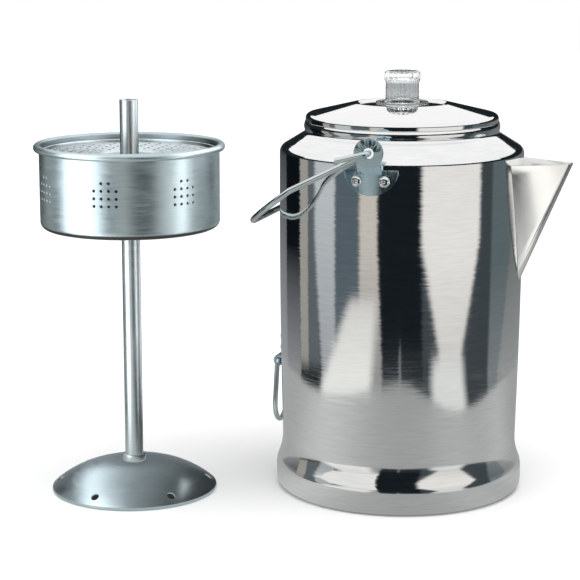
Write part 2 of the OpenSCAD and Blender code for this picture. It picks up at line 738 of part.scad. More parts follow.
module pump_foot() color("darkgray") at_pump() {
    dome_centre = [foot_land_r, foot_h - foot_dome_r];
    difference() {
        rotate_extrude() polygon(concat(
            [[foot_hole_r, foot_h], [foot_land_r, foot_h]],
            arc(dome_centre, foot_dome_r, 90, 90 - foot_dome_turn, 2 * ARC_STEPS),
            [[foot_r, 0], [foot_r - foot_t, 0]],
            arc(dome_centre, foot_dome_r - foot_t, 90 - foot_dome_turn, 90, 2 * ARC_STEPS),
            [[foot_land_r, foot_h - foot_t], [foot_hole_r, foot_h - foot_t]]
        ));
        for (i = [0 : foot_holes - 1]) rotate([0, 0, foot_hole_turn + i * 360 / foot_holes])
            translate([foot_drill_r, 0, foot_drill_z]) rotate([0, foot_drill_turn, 0])
                cylinder(d = foot_hole_d, h = 6 * foot_t, center = true);
    }
}

module basket_stop() color("silver") at_pump() {
    ring_band(foot_hole_r, stop_d / 2, stop_z, stop_h);
}

// A group of holes in the basket's wall, on the +X side
module wall_hole_group() {
    step = basket_hole_pitch / basket_r * 180 / PI;
    for (row = [0 : len(HOLE_ROWS) - 1], i = [0 : HOLE_ROWS[row] - 1])
        rotate([0, 0, (i - (HOLE_ROWS[row] - 1) / 2) * step])
            translate([basket_in_r - basket_t, 0, basket_top_z - basket_hole_drop - row * basket_hole_pitch])
                rotate([0, 90, 0]) cylinder(d = basket_hole_d, h = 3 * basket_t);
}

// A ring of holes drilled down through a floor, evenly spaced and turned by a share of their spacing
module hole_ring(r, pitch, turn, d, z, depth) {
    count = floor(2 * PI * r / pitch);
    for (i = [0 : count - 1]) rotate([0, 0, (i + turn) * 360 / count])
        translate([r, 0, z]) cylinder(d = d, h = depth, center = true);
}

module basket() color("lightgray") at_pump() {
    corner_at = [basket_r - basket_corner_r, basket_z + basket_corner_r];
    difference() {
        rotate_extrude() {
            polygon(concat(
                [[basket_hub_r, basket_z]],
                arc(corner_at, basket_corner_r, -90, 0),
                [[basket_r, basket_roll_z], [basket_in_r, basket_roll_z]],
                arc(corner_at, basket_corner_r - basket_t, 0, -90),
                [[basket_hub_r, basket_z + basket_t]]
            ));
            translate([basket_roll_at, basket_roll_z]) circle(r = basket_roll_r);
        }
        for (i = [0 : basket_groups - 1])
            rotate([0, 0, basket_group_turn + i * 360 / basket_groups]) wall_hole_group();
        for (ring = [0 : basket_floor_rings - 1])
            hole_ring(floor_first_r + ring * basket_floor_pitch, basket_floor_pitch, ring / 2,
                basket_hole_d, basket_z, 6 * basket_t);
    }
}

// The tube through the basket that the stem slides in, with a foot flange and a turned-out lip
module basket_sleeve() color("silver") at_pump() {
    flange_z = basket_z + basket_t + seat;
    ring_band(sleeve_in_r, sleeve_out_r, basket_z, sleeve_top_z - basket_z);
    ring_band(sleeve_in_r, sleeve_flange_r, flange_z, sleeve_t);
    ring_band(sleeve_in_r, sleeve_flange_r, sleeve_top_z - sleeve_t, sleeve_t);
}

// Height of the spreader's sheet at each turn of its ripples
function ripple(i) = [spreader_land_r + i * ripple_w, spreader_z + (i % 2 == 0 ? 0 : spreader_ripple_h)];

module spreader() color("silver") at_pump() {
    rise = [for (i = [1 : 2 * spreader_ripples]) ripple(i)];
    edge_r = spreader_r - spreader_t;
    down = [0, -spreader_t];
    difference() {
        rotate_extrude() polygon(concat(
            [[spreader_hub_r, spreader_land_z + spreader_t], [spreader_land_r, spreader_land_z + spreader_t]],
            [for (p = rise) p + [0, spreader_t]],
            [[edge_r, spreader_z + spreader_t], [edge_r, spreader_z + spreader_edge_h],
             [spreader_r, spreader_z + spreader_edge_h], [spreader_r, spreader_z]],
            reverse(rise),
            [[spreader_land_r, spreader_land_z], [spreader_hub_r, spreader_land_z]]
        ));
        for (ring = [0 : spreader_ripples - 1])
            hole_ring(spreader_land_r + (2 * ring + 1.5) * ripple_w, spreader_hole_pitch, ring / 2,
                spreader_hole_d, spreader_z, 8 * spreader_t);
    }
}

pot_shell();
pot_floor();
spout();
front_ear();
rear_ear();
front_ear_rivets();
rear_ear_rivets();
bail();
ring_bracket();
ring_bracket_rivets();
tilting_ring();
lid();
knob();
stem_tube();
foot_collar();
pump_foot();
basket_stop();
basket();
basket_sleeve();
spreader();
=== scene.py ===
"""Camp coffee percolator: a polished pot with its bail and lid, and the brewing pump beside it."""
import math

import bmesh
import bpy
from mathutils import Matrix, Vector


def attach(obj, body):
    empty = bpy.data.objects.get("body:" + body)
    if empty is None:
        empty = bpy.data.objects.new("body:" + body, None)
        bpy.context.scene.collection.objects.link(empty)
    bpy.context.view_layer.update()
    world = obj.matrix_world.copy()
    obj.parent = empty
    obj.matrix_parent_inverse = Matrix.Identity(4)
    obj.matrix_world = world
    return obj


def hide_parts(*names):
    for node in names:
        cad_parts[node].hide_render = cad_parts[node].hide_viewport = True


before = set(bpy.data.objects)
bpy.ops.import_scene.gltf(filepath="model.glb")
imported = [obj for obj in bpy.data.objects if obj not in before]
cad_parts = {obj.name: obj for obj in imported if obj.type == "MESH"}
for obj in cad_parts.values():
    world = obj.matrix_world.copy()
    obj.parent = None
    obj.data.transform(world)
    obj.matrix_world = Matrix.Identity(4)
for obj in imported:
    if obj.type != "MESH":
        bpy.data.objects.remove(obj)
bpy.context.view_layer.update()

MM = 0.001
TURN_STEPS = 192
ARC_STEPS = 10
EDGE = 0.35

# Sizes in millimetres, as in the part's source.
# Pot
BODY_R, WAIST_R, BASE_R, NECK_R = 82.65, 80.55, 84.8, 65.7
BASE_BAND_H, BASE_CORNER_R = 13.5, 5.6
FLARE_H, FLARE_SHARE, SWELL_H = 22.0, 0.32, 152.5
BODY_H, SHOULDER_R, SHOULDER_SLOPE = 235.0, 6.0, 31.5
NECK_H, NECK_FILLET_R, NECK_BULGE, POT_T = 5.5, 2.5, 0.55, 1.2
# Spout strainer
SPOUT_Z, SPOUT_LOW_Z, SPOUT_W, SPOUT_NOSE_R = 228.0, 149.0, 47.0, 7.6
STRAINER_R, STRAINER_PITCH = 2.1, 7.5
# Bail, ears and rivets
PIVOT_Z, BAIL_R, ARM_Y, HOOK_Y = 241.0, 2.0, 85.05, 91.65
BAIL_ARM_L, BAIL_CORNER_R, BAIL_HOOK_L = 60.0, 45.0, 22.0
BAIL_REST, BAIL_SET, BAIL_HOOK_TURN, BAIL_HOOK_R, BAIL_KINK_R = 26.5, 10.0, 12.0, 3.0, 8.0
WING_OUT_R, EAR_RIVET_Z, EAR_RIVET_GAP = 84.5, 222.5, 18.4
RIVET_R, RIVET_HEAD_R, RIVET_HEAD_H, RIVET_DIMPLE_R, RIVET_TAIL_H = 1.6, 3.7, 1.7, 1.3, 1.1
RIVET_SEAT, SEAT = 0.1, 0.05
EAR_T, BRACKET_T = 1.8, 1.8
TAB_Y, EAR_HEAD_R, EAR_HOLE_R, EAR_FAN, EAR_FLUTES, EAR_CUTS = 87.45, 9.7, 3.5, 0.55, 9, 14
# Tilting ring
RING_R, RING_X, RING_Z, RING_H = 1.7, -85.84, 81.5, 45.0
RING_W, RING_BAR_W, RING_CORNER_R = 31.0, 17.0, 2.4
BRACKET_X, BRACKET_RIVET_Z, BRACKET_RIVET_GAP, BRACKET_GRIP = 82.04, 90.5, 8.0, 4.3
# Lid and knob
MOUTH_Z, LID_R, LID_SKIRT_R = 252.287, 65.2, 64.1
LID_BAND_H, LID_CORNER_R, LID_SLOPE, LID_T, LID_SKIRT_H = 5.6, 3.2, 13.5, 0.9, 5.5
LID_RECESS_R, LID_RECESS_H, LID_HOLE_R, LID_LIP, LID_HEM = 31.2, 1.8, 11.7, 2.2, 0.5
KNOB_R, KNOB_H, KNOB_HEAD_R, KNOB_HEAD_H, KNOB_FLUTES = 11.3, 22.6, 12.3, 6.8, 20
KNOB_FLANGE_R, KNOB_FLANGE_H, KNOB_WALL, KNOB_ROOF = 18.0, 2.2, 2.6, 4.0
KNOB_LUG_H, KNOB_FILLET, KNOB_SWELL, KNOB_FLUTE_DEPTH, LIFT = 2.0, 2.2, 0.6, 0.75, 0.4
KNOB_SHANK_Z, KNOB_NECK_Z = 266.5, 278.0
# Pump
PUMP = (-171.0, -68.0)
STEM_R, STEM_T, STEM_H, STEM_FLARE, STEM_RINGS = 6.2, 0.8, 268.573, 2.7, (60, 110, 160, 210)
FOOT_R, FOOT_H, FOOT_RIM_H, FOOT_T, FOOT_LAND_R = 56.5, 19.0, 2.0, 1.0, 11.0
FOOT_HOLES, FOOT_HOLE_R, FOOT_HOLE_INSET, FOOT_HOLE_TURN = 6, 2.8, 5.5, 20.0
COLLAR_R, COLLAR_H, COLLAR_EDGE, STOP_R, STOP_H, STOP_EDGE, PRESS = 7.9, 5.0, 0.8, 9.5, 4.0, 0.7, 0.04
BASKET_TOP_Z, BASKET_H, BASKET_ROLL_R, BASKET_ROLL_AT = 239.587, 57.0, 2.5, 61.7
BASKET_R, BASKET_T, BASKET_CORNER_R, BASKET_HUB_R = 60.45, 0.9, 5.0, 7.64
BASKET_HOLE_R, BASKET_GROUPS, BASKET_HOLE_PITCH = 1.1, 7, 5.0
BASKET_GROUP_TURN, BASKET_HOLE_DROP = 19.0, 19.5
BASKET_FLOOR_RINGS, BASKET_FLOOR_PITCH = 4, 9.0
# Where the basket's sheet is divided: radii on its floor and heights on its wall.
FLOOR_STEPS, WALL_STEPS = (20, 32, 44), (15, 30, 45)
HOLE_ROWS = (2, 4, 4, 4)
SLEEVE_IN_R, SLEEVE_OUT_R, SLEEVE_FLANGE_R, SLEEVE_T, SLEEVE_FILLET = 6.6, 7.6, 11.0, 1.0, 1.5
SPREADER_R, SPREADER_Z, SPREADER_T, SPREADER_EDGE_H = 58.8, 231.587, 0.8, 3.5
SPREADER_LAND_R, SPREADER_LAND_DROP, SPREADER_LAND_BEND, SPREADER_STEP_H = 17.0, 1.2, 2.0, 0.4
SPREADER_RIPPLES, SPREADER_RIPPLE_H = 5, 0.5
SPREADER_HOLE_R, SPREADER_HOLE_PITCH = 0.95, 8.0
# How far the edges of cut sheet are broken.
SPOUT_EDGE, BRACKET_EDGE = 0.3, 0.25

# View
VIEW_AZIMUTH, VIEW_YAW, VIEW_PITCH = 13.7, 3.34, 11.3
VIEW_DISTANCE, VIEW_HEIGHT, VIEW_LENS = 1.3, 0.3951, 119.36


# Profiles and paths

def arc(centre, r, a, b, steps=ARC_STEPS):
    """Points along an arc, from angle a to angle b in degrees."""
    turns = [math.radians(a + (b - a) * i / steps) for i in range(steps + 1)]
    return [(centre[0] + r * math.cos(t), centre[1] + r * math.sin(t)) for t in turns]


def bend(p, q, s, steps=ARC_STEPS):
    """A smooth turn from p to s that leaves the line p-q and runs into the line q-s."""
    out = []
    for i in range(steps + 1):
        t = i / steps
        out.append(tuple((1 - t) ** 2 * a + 2 * t * (1 - t) * b + t * t * c for a, b, c in zip(p, q, s)))
    return out


def pot_line(t):
    """The pot's profile from its axis to its mouth, drawn in by the sheet thickness t."""
    waist_z = BASE_BAND_H + FLARE_H
    swell_z = waist_z + SWELL_H
    turn = 2 * math.degrees(math.atan((BASE_R - WAIST_R) / FLARE_H))
    flare_bend = FLARE_H / math.sin(math.radians(turn))
    low_r = flare_bend * FLARE_SHARE
    high_r = flare_bend - low_r
    swell_r = (SWELL_H ** 2 + (BODY_R - WAIST_R) ** 2) / (2 * (BODY_R - WAIST_R))
    swell_turn = math.degrees(math.asin(SWELL_H / swell_r))
    shoulder_turn = 90 - SHOULDER_SLOPE
    corner_z = BODY_H - SHOULDER_R * math.tan(math.radians(shoulder_turn / 2))
    neck_z = MOUTH_Z - NECK_H
    fillet = arc((NECK_R + NECK_FILLET_R, neck_z), NECK_FILLET_R + t, 270 - SHOULDER_SLOPE, 180)
    neck = []
    for i in range(1, ARC_STEPS):
        share = i / ARC_STEPS
        neck.append((NECK_R - t + NECK_BULGE * math.sin(math.pi * share), neck_z + NECK_H * share))
    return ([(0, t)]
            + [(BASE_R * share, t) for share in (0.3, 0.6, 0.8)]
            + arc((BASE_R - BASE_CORNER_R, BASE_CORNER_R), BASE_CORNER_R - t, -90, 0)
            + arc((BASE_R - low_r, BASE_BAND_H), low_r - t, 0, turn, 16)
            + arc((WAIST_R + high_r, waist_z), high_r + t, 180 + turn, 180, 24)[1:]
            + arc((BODY_R - swell_r, swell_z), swell_r - t, -swell_turn, 0, 24)[1:]
            + arc((BODY_R - SHOULDER_R, corner_z), SHOULDER_R - t, 0, shoulder_turn, 16)
            + fillet + neck + [(NECK_R - t, MOUTH_Z)])


def spout_half(z):
    return SPOUT_NOSE_R + (SPOUT_W / 2 - SPOUT_NOSE_R) * (z - SPOUT_LOW_Z) / (SPOUT_Z - SPOUT_LOW_Z)


def lid_loop():
    """The lid's sheet as a closed half section: skirt, band, dome, recess and the hole for the knob."""
    lid_z = MOUTH_Z + SEAT
    corner = (LID_R - LID_CORNER_R, lid_z + LID_BAND_H - LID_CORNER_R)
    turn = 90 - LID_SLOPE
    slope = math.tan(math.radians(LID_SLOPE))
    dome = arc(corner, LID_CORNER_R, 0, turn, 16)
    dome_r, dome_z = dome[-1]
    rim_z = dome_z + (dome_r - LID_RECESS_R) * slope
    floor_z = rim_z - LID_RECESS_H
    foot_r = LID_RECESS_R - LID_RECESS_H
    mid = ((LID_RECESS_R + foot_r) / 2, (rim_z + floor_z) / 2)
    top = (bend((LID_RECESS_R + LID_LIP, rim_z - LID_LIP * slope), (LID_RECESS_R, rim_z), mid)
           + bend(mid, (foot_r, floor_z), (foot_r - LID_LIP / 2, floor_z))[1:])
    under = [(r + LID_T * 0.4, z - LID_T) for r, z in top]
    skirt_in = LID_SKIRT_R - LID_T
    skirt_z = MOUTH_Z - LID_SKIRT_H
    return ([(skirt_in, skirt_z), (LID_SKIRT_R, skirt_z), (LID_SKIRT_R, lid_z), (LID_R - LID_HEM, lid_z)]
            + bend((LID_R - LID_HEM, lid_z), (LID_R, lid_z), (LID_R, lid_z + LID_HEM), 4)[1:]
            + dome + top + [(LID_HOLE_R, floor_z), (LID_HOLE_R, floor_z - LID_T)]
            + under[::-1] + arc(corner, LID_CORNER_R - LID_T, turn, 0, 16)
            + [(LID_R - LID_T, lid_z + LID_T), (skirt_in, lid_z + LID_T)]), floor_z


def spreader_loop():
    """The spreader's sheet: a sunk land, smooth ripples and a turned-up edge."""
    land_z = SPREADER_Z - SPREADER_LAND_DROP
    edge_r = SPREADER_R - SPREADER_T
    width = (edge_r - SPREADER_LAND_R) / (2 * SPREADER_RIPPLES + 1)
    count = 12 * SPREADER_RIPPLES
    span = edge_r - 2 * EDGE - (SPREADER_LAND_R + width)
    wave = []
    for i in range(count + 1):
        r = SPREADER_LAND_R + width + span * i / count
        swing = 0.5 - 0.5 * math.cos(2 * math.pi * SPREADER_RIPPLES * i / count)
        wave.append((r, SPREADER_Z + SPREADER_RIPPLE_H * swing))
    step = bend((SPREADER_LAND_R - SPREADER_LAND_BEND, land_z), (SPREADER_LAND_R, land_z),
                (SPREADER_LAND_R + width / 2, SPREADER_Z - SPREADER_STEP_H), 6)
    low = [(STEM_R + LIFT, land_z)] + step + wave
    up = [(r, z + SPREADER_T) for r, z in low]
    top_z = SPREADER_Z + SPREADER_EDGE_H
    rim_r = (SPREADER_R + edge_r) / 2
    return (up + [(edge_r, SPREADER_Z + SPREADER_T + EDGE), (edge_r, top_z - EDGE)]
            + arc((rim_r, top_z - EDGE), SPREADER_T / 2, 180, 0, 6)
            + [(SPREADER_R, SPREADER_Z + EDGE), (SPREADER_R - EDGE, SPREADER_Z)] + low[::-1])


def basket_loop():
    """The basket's sheet from its hub over floor and wall to the rolled rim."""
    z = BASKET_TOP_Z - BASKET_H
    roll_z = BASKET_TOP_Z - BASKET_ROLL_R
    corner = (BASKET_R - BASKET_CORNER_R, z + BASKET_CORNER_R)
    inner_r = BASKET_R - BASKET_T
    reach_in = math.degrees(math.acos((inner_r - BASKET_ROLL_AT) / BASKET_ROLL_R))
    reach_out = math.degrees(math.acos((BASKET_R - BASKET_ROLL_AT) / BASKET_ROLL_R))
    roll_end = 360 - reach_in - 2 * (180 - reach_in)
    return ([(BASKET_HUB_R, z + BASKET_T), (BASKET_HUB_R, z)]
            + [(r, z) for r in FLOOR_STEPS]
            + arc(corner, BASKET_CORNER_R, -90, 0)
            + [(BASKET_R, z + rise) for rise in WALL_STEPS]
            + arc((BASKET_ROLL_AT, roll_z), BASKET_ROLL_R, -reach_out, roll_end, 36)
            + [(inner_r, z + rise) for rise in WALL_STEPS[::-1]]
            + arc(corner, BASKET_CORNER_R - BASKET_T, 0, -90)
            + [(r, z + BASKET_T) for r in FLOOR_STEPS[::-1]])


def sleeve_loop():
    """The basket's centre sleeve, with a flange on the basket's floor and one under the spreader."""
    low = BASKET_TOP_Z - BASKET_H
    flange = low + BASKET_T + SEAT
    floor = flange + SLEEVE_T
    top = SPREADER_Z - SPREADER_LAND_DROP - SEAT
    roof = top - SLEEVE_T
    r, wide = SLEEVE_OUT_R, SLEEVE_FLANGE_R
    return ([(SLEEVE_IN_R, low), (r, low), (r, flange), (wide, flange), (wide, floor)]
            + bend((r + SLEEVE_FILLET, floor), (r, floor), (r, floor + SLEEVE_FILLET), 5)
            + bend((r, roof - SLEEVE_FILLET), (r, roof), (r + SLEEVE_FILLET, roof), 5)
            + [(wide, roof), (wide, top - EDGE), (wide - EDGE, top), (SLEEVE_IN_R, top)])


def stem_loop():
    """The stem's tube, flared under the foot and rounded at its top."""
    low = FOOT_H - 2 * FOOT_T - SEAT
    bore, wide = STEM_R - STEM_T, STEM_R + STEM_FLARE
    return ([(bore, low), (wide, low), (wide, low + FOOT_T), (STEM_R, low + FOOT_T)]
            + [(STEM_R, z) for z in STEM_RINGS] + [(STEM_R, STEM_H - 0.3)]
            + arc((STEM_R - STEM_T / 2, STEM_H - STEM_T / 2), STEM_T / 2, 0, 180, 6) + [(bore, STEM_H - 0.6)])


def foot_bow():
    """The radius of the foot's dome, which falls from its level land to its rim."""
    width, height = FOOT_R - FOOT_LAND_R, FOOT_H - FOOT_RIM_H
    return (width ** 2 + height ** 2) / (2 * height)


def foot_loop():
    """The foot's domed sheet from the stem's hole to its rim."""
    r = foot_bow()
    turn = math.degrees(math.asin((FOOT_R - FOOT_LAND_R) / r))
    centre = (FOOT_LAND_R, FOOT_H - r)
    hole = STEM_R + PRESS
    return ([(hole, FOOT_H - FOOT_T), (hole, FOOT_H)]
            + arc(centre, r, 90, 90 - turn, 24)
            + [(FOOT_R, EDGE), (FOOT_R - EDGE, 0), (FOOT_R - FOOT_T, 0)]
            + arc(centre, r - FOOT_T, 90 - turn, 90, 24))


def under_foot(r, z):
    """Whether a point of the foot's section lies on its hollow side."""
    bow = foot_bow()
    return (FOOT_LAND_R <= r < FOOT_R - FOOT_T
            and math.hypot(r - FOOT_LAND_R, z - FOOT_H + bow) < bow - FOOT_T / 2)


def ring_loop(in_r, out_r, low_z, high_z, edge):
    """A ring's section with rounded outer edges."""
    return ([(in_r, low_z)] + arc((out_r - edge, low_z + edge), edge, -90, 0, 6)
            + arc((out_r - edge, high_z - edge), edge, 0, 90, 6) + [(in_r, high_z)])


def rounded_path(points, radii, steps):
    """A path through points whose corners are rounded; a radius of 0 leaves a plain point."""
    points = [Vector(p) for p in points]
    out = []
    count = len(points)
    for i, p in enumerate(points):
        if radii[i] == 0:
            out.append(p)
            continue
        back = (points[i - 1] - p).normalized()
        on = (points[(i + 1) % count] - p).normalized()
        half = back.angle(on) / 2
        reach = radii[i] / math.tan(half)
        middle = p + (back + on).normalized() * (radii[i] / math.sin(half))
        start, end = p + back * reach - middle, p + on * reach - middle
        turn = start.angle(end)
        for k in range(steps + 1):
            share = k / steps
            arm = start * math.sin((1 - share) * turn) + end * math.sin(share * turn)
            out.append(middle + arm / math.sin(turn))
    return out


# Meshes

def new_piece(name, verts, edges=(), faces=()):
    """An object at the origin from points in millimetres."""
    mesh = bpy.data.meshes.new(name)
    mesh.from_pydata([Vector(v) * MM for v in verts], list(edges), list(faces))
    obj = bpy.data.objects.new(name, mesh)
    bpy.context.scene.collection.objects.link(obj)
    return obj


def turned(name, loop, axis=(0.0, 0.0), steps=TURN_STEPS, flute=None, inside=None):
    """A closed shell turned from a half section of (radius, height) points about a vertical axis.

    inside(r, z) says whether a point of the section lies on a wetted inner face, which gets a dark stain
    deepened into painted shade.
    """
    verts, rings, stain_and_shade_marks = [], [], []
    for k, (r, z) in enumerate(loop):
        stain = 1.0 if inside and inside(r, z) else 0.0
        if r < 1e-6:
            rings.append([len(verts)])
            verts.append((axis[0], axis[1], z))
            stain_and_shade_marks.append(stain)
            continue
        stain_and_shade_marks += [stain] * steps
        rings.append(list(range(len(verts), len(verts) + steps)))
        for i in range(steps):
            a = 2 * math.pi * i / steps
            reach = r + (flute(k, a) if flute else 0)
            verts.append((axis[0] + reach * math.cos(a), axis[1] + reach * math.sin(a), z))
    pairs = list(zip(rings, rings[1:]))
    if loop[0][0] > 1e-6:
        pairs.append((rings[-1], rings[0]))
    faces = []
    for low, high in pairs:
        for i in range(steps):
            j = (i + 1) % steps
            quad = [low[i % len(low)], low[j % len(low)], high[j % len(high)], high[i % len(high)]]
            face = list(dict.fromkeys(quad))
            if len(face) > 2:
                faces.append(face)
    obj = new_piece(name, verts, faces=faces)
    if inside:
        obj.data.attributes.new("stain", "FLOAT", "POINT").data.foreach_set("value", stain_and_shade_marks)
    outward(obj)
    return obj


def outward(obj):
    """Merges doubled points and turns every face of a closed shell outwards."""
    form = bmesh.new()
    form.from_mesh(obj.data)
    bmesh.ops.remove_doubles(form, verts=form.verts, dist=1e-6)
    bmesh.ops.recalc_face_normals(form, faces=form.faces)
    form.to_mesh(obj.data)
    form.free()


def softened(name, node, width, segments=2):
    """A merged copy of a CAD node with its edges broken, for sheet that is cut and pressed."""
    obj = bpy.data.objects.new(name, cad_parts[node].data.copy())
    obj.data.materials.clear()
    bpy.context.scene.collection.objects.link(obj)
    form = bmesh.new()
    form.from_mesh(obj.data)
    bmesh.ops.remove_doubles(form, verts=form.verts, dist=2e-6)
    bmesh.ops.dissolve_limit(form, angle_limit=math.radians(0.6), verts=form.verts, edges=form.edges)
    form.to_mesh(obj.data)
    form.free()
    edge = obj.modifiers.new("broken_edges", "BEVEL")
    edge.width, edge.segments = width * MM, segments
    edge.limit_method, edge.angle_limit = "ANGLE", math.radians(38)
    edge.use_clamp_overlap = True
    settle(obj)
    return obj


def fanned(obj, outside):
    """Presses a fan of shallow flutes into the round head of an ear, above the bail's hole."""
    form = bmesh.new()
    form.from_mesh(obj.data)
    for axis, middle in (((1, 0, 0), 0.0), ((0, 0, 1), PIVOT_Z)):
        for i in range(-EAR_CUTS, EAR_CUTS + 1):
            at = Vector(axis) * (middle + i * EAR_HEAD_R / EAR_CUTS) * MM
            bmesh.ops.bisect_plane(form, geom=form.verts[:] + form.edges[:] + form.faces[:],
                                   plane_co=at, plane_no=axis, dist=1e-6)
    face = outside * (TAB_Y + EAR_T) * MM
    for v in form.verts:
        x, z = v.co.x / MM, v.co.z / MM - PIVOT_Z
        reach = math.hypot(x, z)
        if abs(v.co.y - face) < EDGE * MM / 10 and EAR_HOLE_R < reach < EAR_HEAD_R and z > 0:
            across = (EAR_HEAD_R - reach) / (EAR_HEAD_R - EAR_HOLE_R)
            share = math.sin(math.pi * across) * math.sqrt(z / reach)
            v.co.y -= outside * EAR_FAN * MM * share * (0.5 - 0.5 * math.cos(EAR_FLUTES * math.atan2(x, z)))
    form.to_mesh(obj.data)
    form.free()


def settle(obj):
    """Turns an object's evaluated shape into its plain mesh and removes its modifiers."""
    bpy.context.view_layer.update()
    seen = obj.evaluated_get(bpy.context.evaluated_depsgraph_get())
    mesh = bpy.data.meshes.new_from_object(seen)
    obj.modifiers.clear()
    old = obj.data
    obj.data = mesh
    mesh.name = obj.name
    bpy.data.meshes.remove(old)


def dress(obj, body, material, nodes=(), sharp=32):
    """Gives a piece its finish, its smooth faces, its body and the nodes that it stands for."""
    obj.data.materials.clear()
    obj.data.materials.append(material)
    obj.data.shade_smooth()
    obj.data.set_sharp_from_angle(angle=math.radians(sharp))
    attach(obj, body)
    if nodes:
        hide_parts(*nodes)
    return obj


# Node trees

GEOMETRY, FLOAT, WHOLE = "NodeSocketGeometry", "NodeSocketFloat", "NodeSocketInt"
VECTOR, PIECE, FINISH = "NodeSocketVector", "NodeSocketObject", "NodeSocketMaterial"


def tree_with(name, kind, inputs, outputs):
    """A node group with its sockets: inputs are (name, type, default) rows and outputs (name, type) rows."""
    tree = bpy.data.node_groups.new(name, kind)
    for label, socket, default in inputs:
        made = tree.interface.new_socket(label, in_out="INPUT", socket_type=socket)
        if default is not None:
            made.default_value = default
    for label, socket in outputs:
        tree.interface.new_socket(label, in_out="OUTPUT", socket_type=socket)
    return tree, tree.nodes.new("NodeGroupInput").outputs, tree.nodes.new("NodeGroupOutput").inputs


def link(tree, source, target):
    tree.links.new(source, target)


def node(tree, kind, inputs=None, **settings):
    """Adds a node and gives its outputs; inputs holds sockets to link and plain values.

    kind is the node's type without the words that it shares with its tree's type.
    """
    made = tree.nodes.new(kind if kind.startswith("Function") else tree.bl_idname.replace("Tree", kind))
    for key, given in settings.items():
        setattr(made, key, given)
    for key, given in (inputs or {}).items():
        if isinstance(given, bpy.types.NodeSocket):
            link(tree, given, made.inputs[key])
        else:
            made.inputs[key].default_value = given
    return made.outputs


def shaping_tree(name, inputs):
    """A geometry node group that shapes a mesh and gives it a finish."""
    rows = [("Geometry", GEOMETRY, None), *inputs, ("Finish", FINISH, None)]
    return tree_with(name, "GeometryNodeTree", rows, [("Geometry", GEOMETRY)])


def finished(tree, start, end, shape):
    """Ends a shaping tree with a plain mesh and its finish."""
    real = node(tree, "RealizeInstances", {"Geometry": shape})
    done = node(tree, "SetMaterial", {"Geometry": real["Geometry"], "Material": start["Finish"]})
    link(tree, done["Geometry"], end["Geometry"])
    return tree


def wire_tree():
    """Draws a round wire of a given radius along the edges of a path."""
    tree, start, end = shaping_tree("drawn_wire", [("Radius", FLOAT, 0.002), ("Sides", WHOLE, 20)])
    path = node(tree, "MeshToCurve", {"Mesh": start["Geometry"]})
    section = node(tree, "CurvePrimitiveCircle", {"Radius": start["Radius"], "Resolution": start["Sides"]})
    tube = node(tree, "CurveToMesh",
                {"Curve": path["Curve"], "Profile Curve": section["Curve"], "Fill Caps": True})
    return finished(tree, start, end, tube["Mesh"])


def placed_on(tree, start, shape):
    """Places a shape on each point of the seat object, turned from +Z to the point's own axis."""
    seats = node(tree, "ObjectInfo", {"Object": start["Seats"]})
    axis = node(tree, "InputNamedAttribute", {"Name": "axis"}, data_type="FLOAT_VECTOR")
    turn = node(tree, "FunctionNodeAlignRotationToVector", {"Vector": axis["Attribute"]}, axis="Z")
    placed = node(tree, "InstanceOnPoints",
                  {"Points": seats["Geometry"], "Instance": shape, "Rotation": turn["Rotation"]})
    return node(tree, "RealizeInstances", {"Geometry": placed["Instances"]})["Geometry"]


def perforate_tree():
    """Drills a round hole through a sheet at each point of the seat object."""
    tree, start, end = shaping_tree("drilled_sheet", [("Seats", PIECE, None), ("Radius", FLOAT, 0.001),
                                                      ("Depth", FLOAT, 0.004), ("Sides", WHOLE, 16)])
    drill = node(tree, "MeshCylinder",
                 {"Radius": start["Radius"], "Depth": start["Depth"], "Vertices": start["Sides"]})
    cut = node(tree, "MeshBoolean",
               {0: start["Geometry"], 1: placed_on(tree, start, drill["Mesh"])},
               operation="DIFFERENCE", solver="EXACT")
    return finished(tree, start, end, cut["Mesh"])


def rivet_tree():
    """Sets the same rivet on each point of the seat object."""
    tree, start, end = shaping_tree("set_rivets", [("Seats", PIECE, None)])
    return finished(tree, start, end, placed_on(tree, start, start["Geometry"]))


def grow(obj, tree, **values):
    """Runs a node tree on an object and keeps the result as its plain mesh."""
    run = obj.modifiers.new(tree.name, "NODES")
    run.node_group = tree
    for item in tree.interface.items_tree:
        if item.item_type == "SOCKET" and item.in_out == "INPUT" and item.name in values:
            run[item.identifier] = values[item.name]
    settle(obj)
    return obj


def seats_at(name, rows):
    """A set of points in millimetres, each with the axis that its rivet or hole follows."""
    obj = new_piece(name, [place for place, _ in rows])
    axes = obj.data.attributes.new("axis", "FLOAT_VECTOR", "POINT")
    axes.data.foreach_set("vector", [v for _, axis in rows for v in axis])
    return obj


def discard(obj):
    mesh = obj.data
    bpy.data.objects.remove(obj)
    bpy.data.meshes.remove(mesh)


def drilled(obj, groups):
    """Drills sets of holes: groups are (seat rows, radius, depth, sides)."""
    for rows, radius, depth, sides in groups:
        seats = seats_at(obj.name + "_holes", rows)
        grow(obj, DRILLED, Seats=seats, Radius=radius * MM, Depth=depth * MM, Sides=sides)
        discard(seats)
    return obj


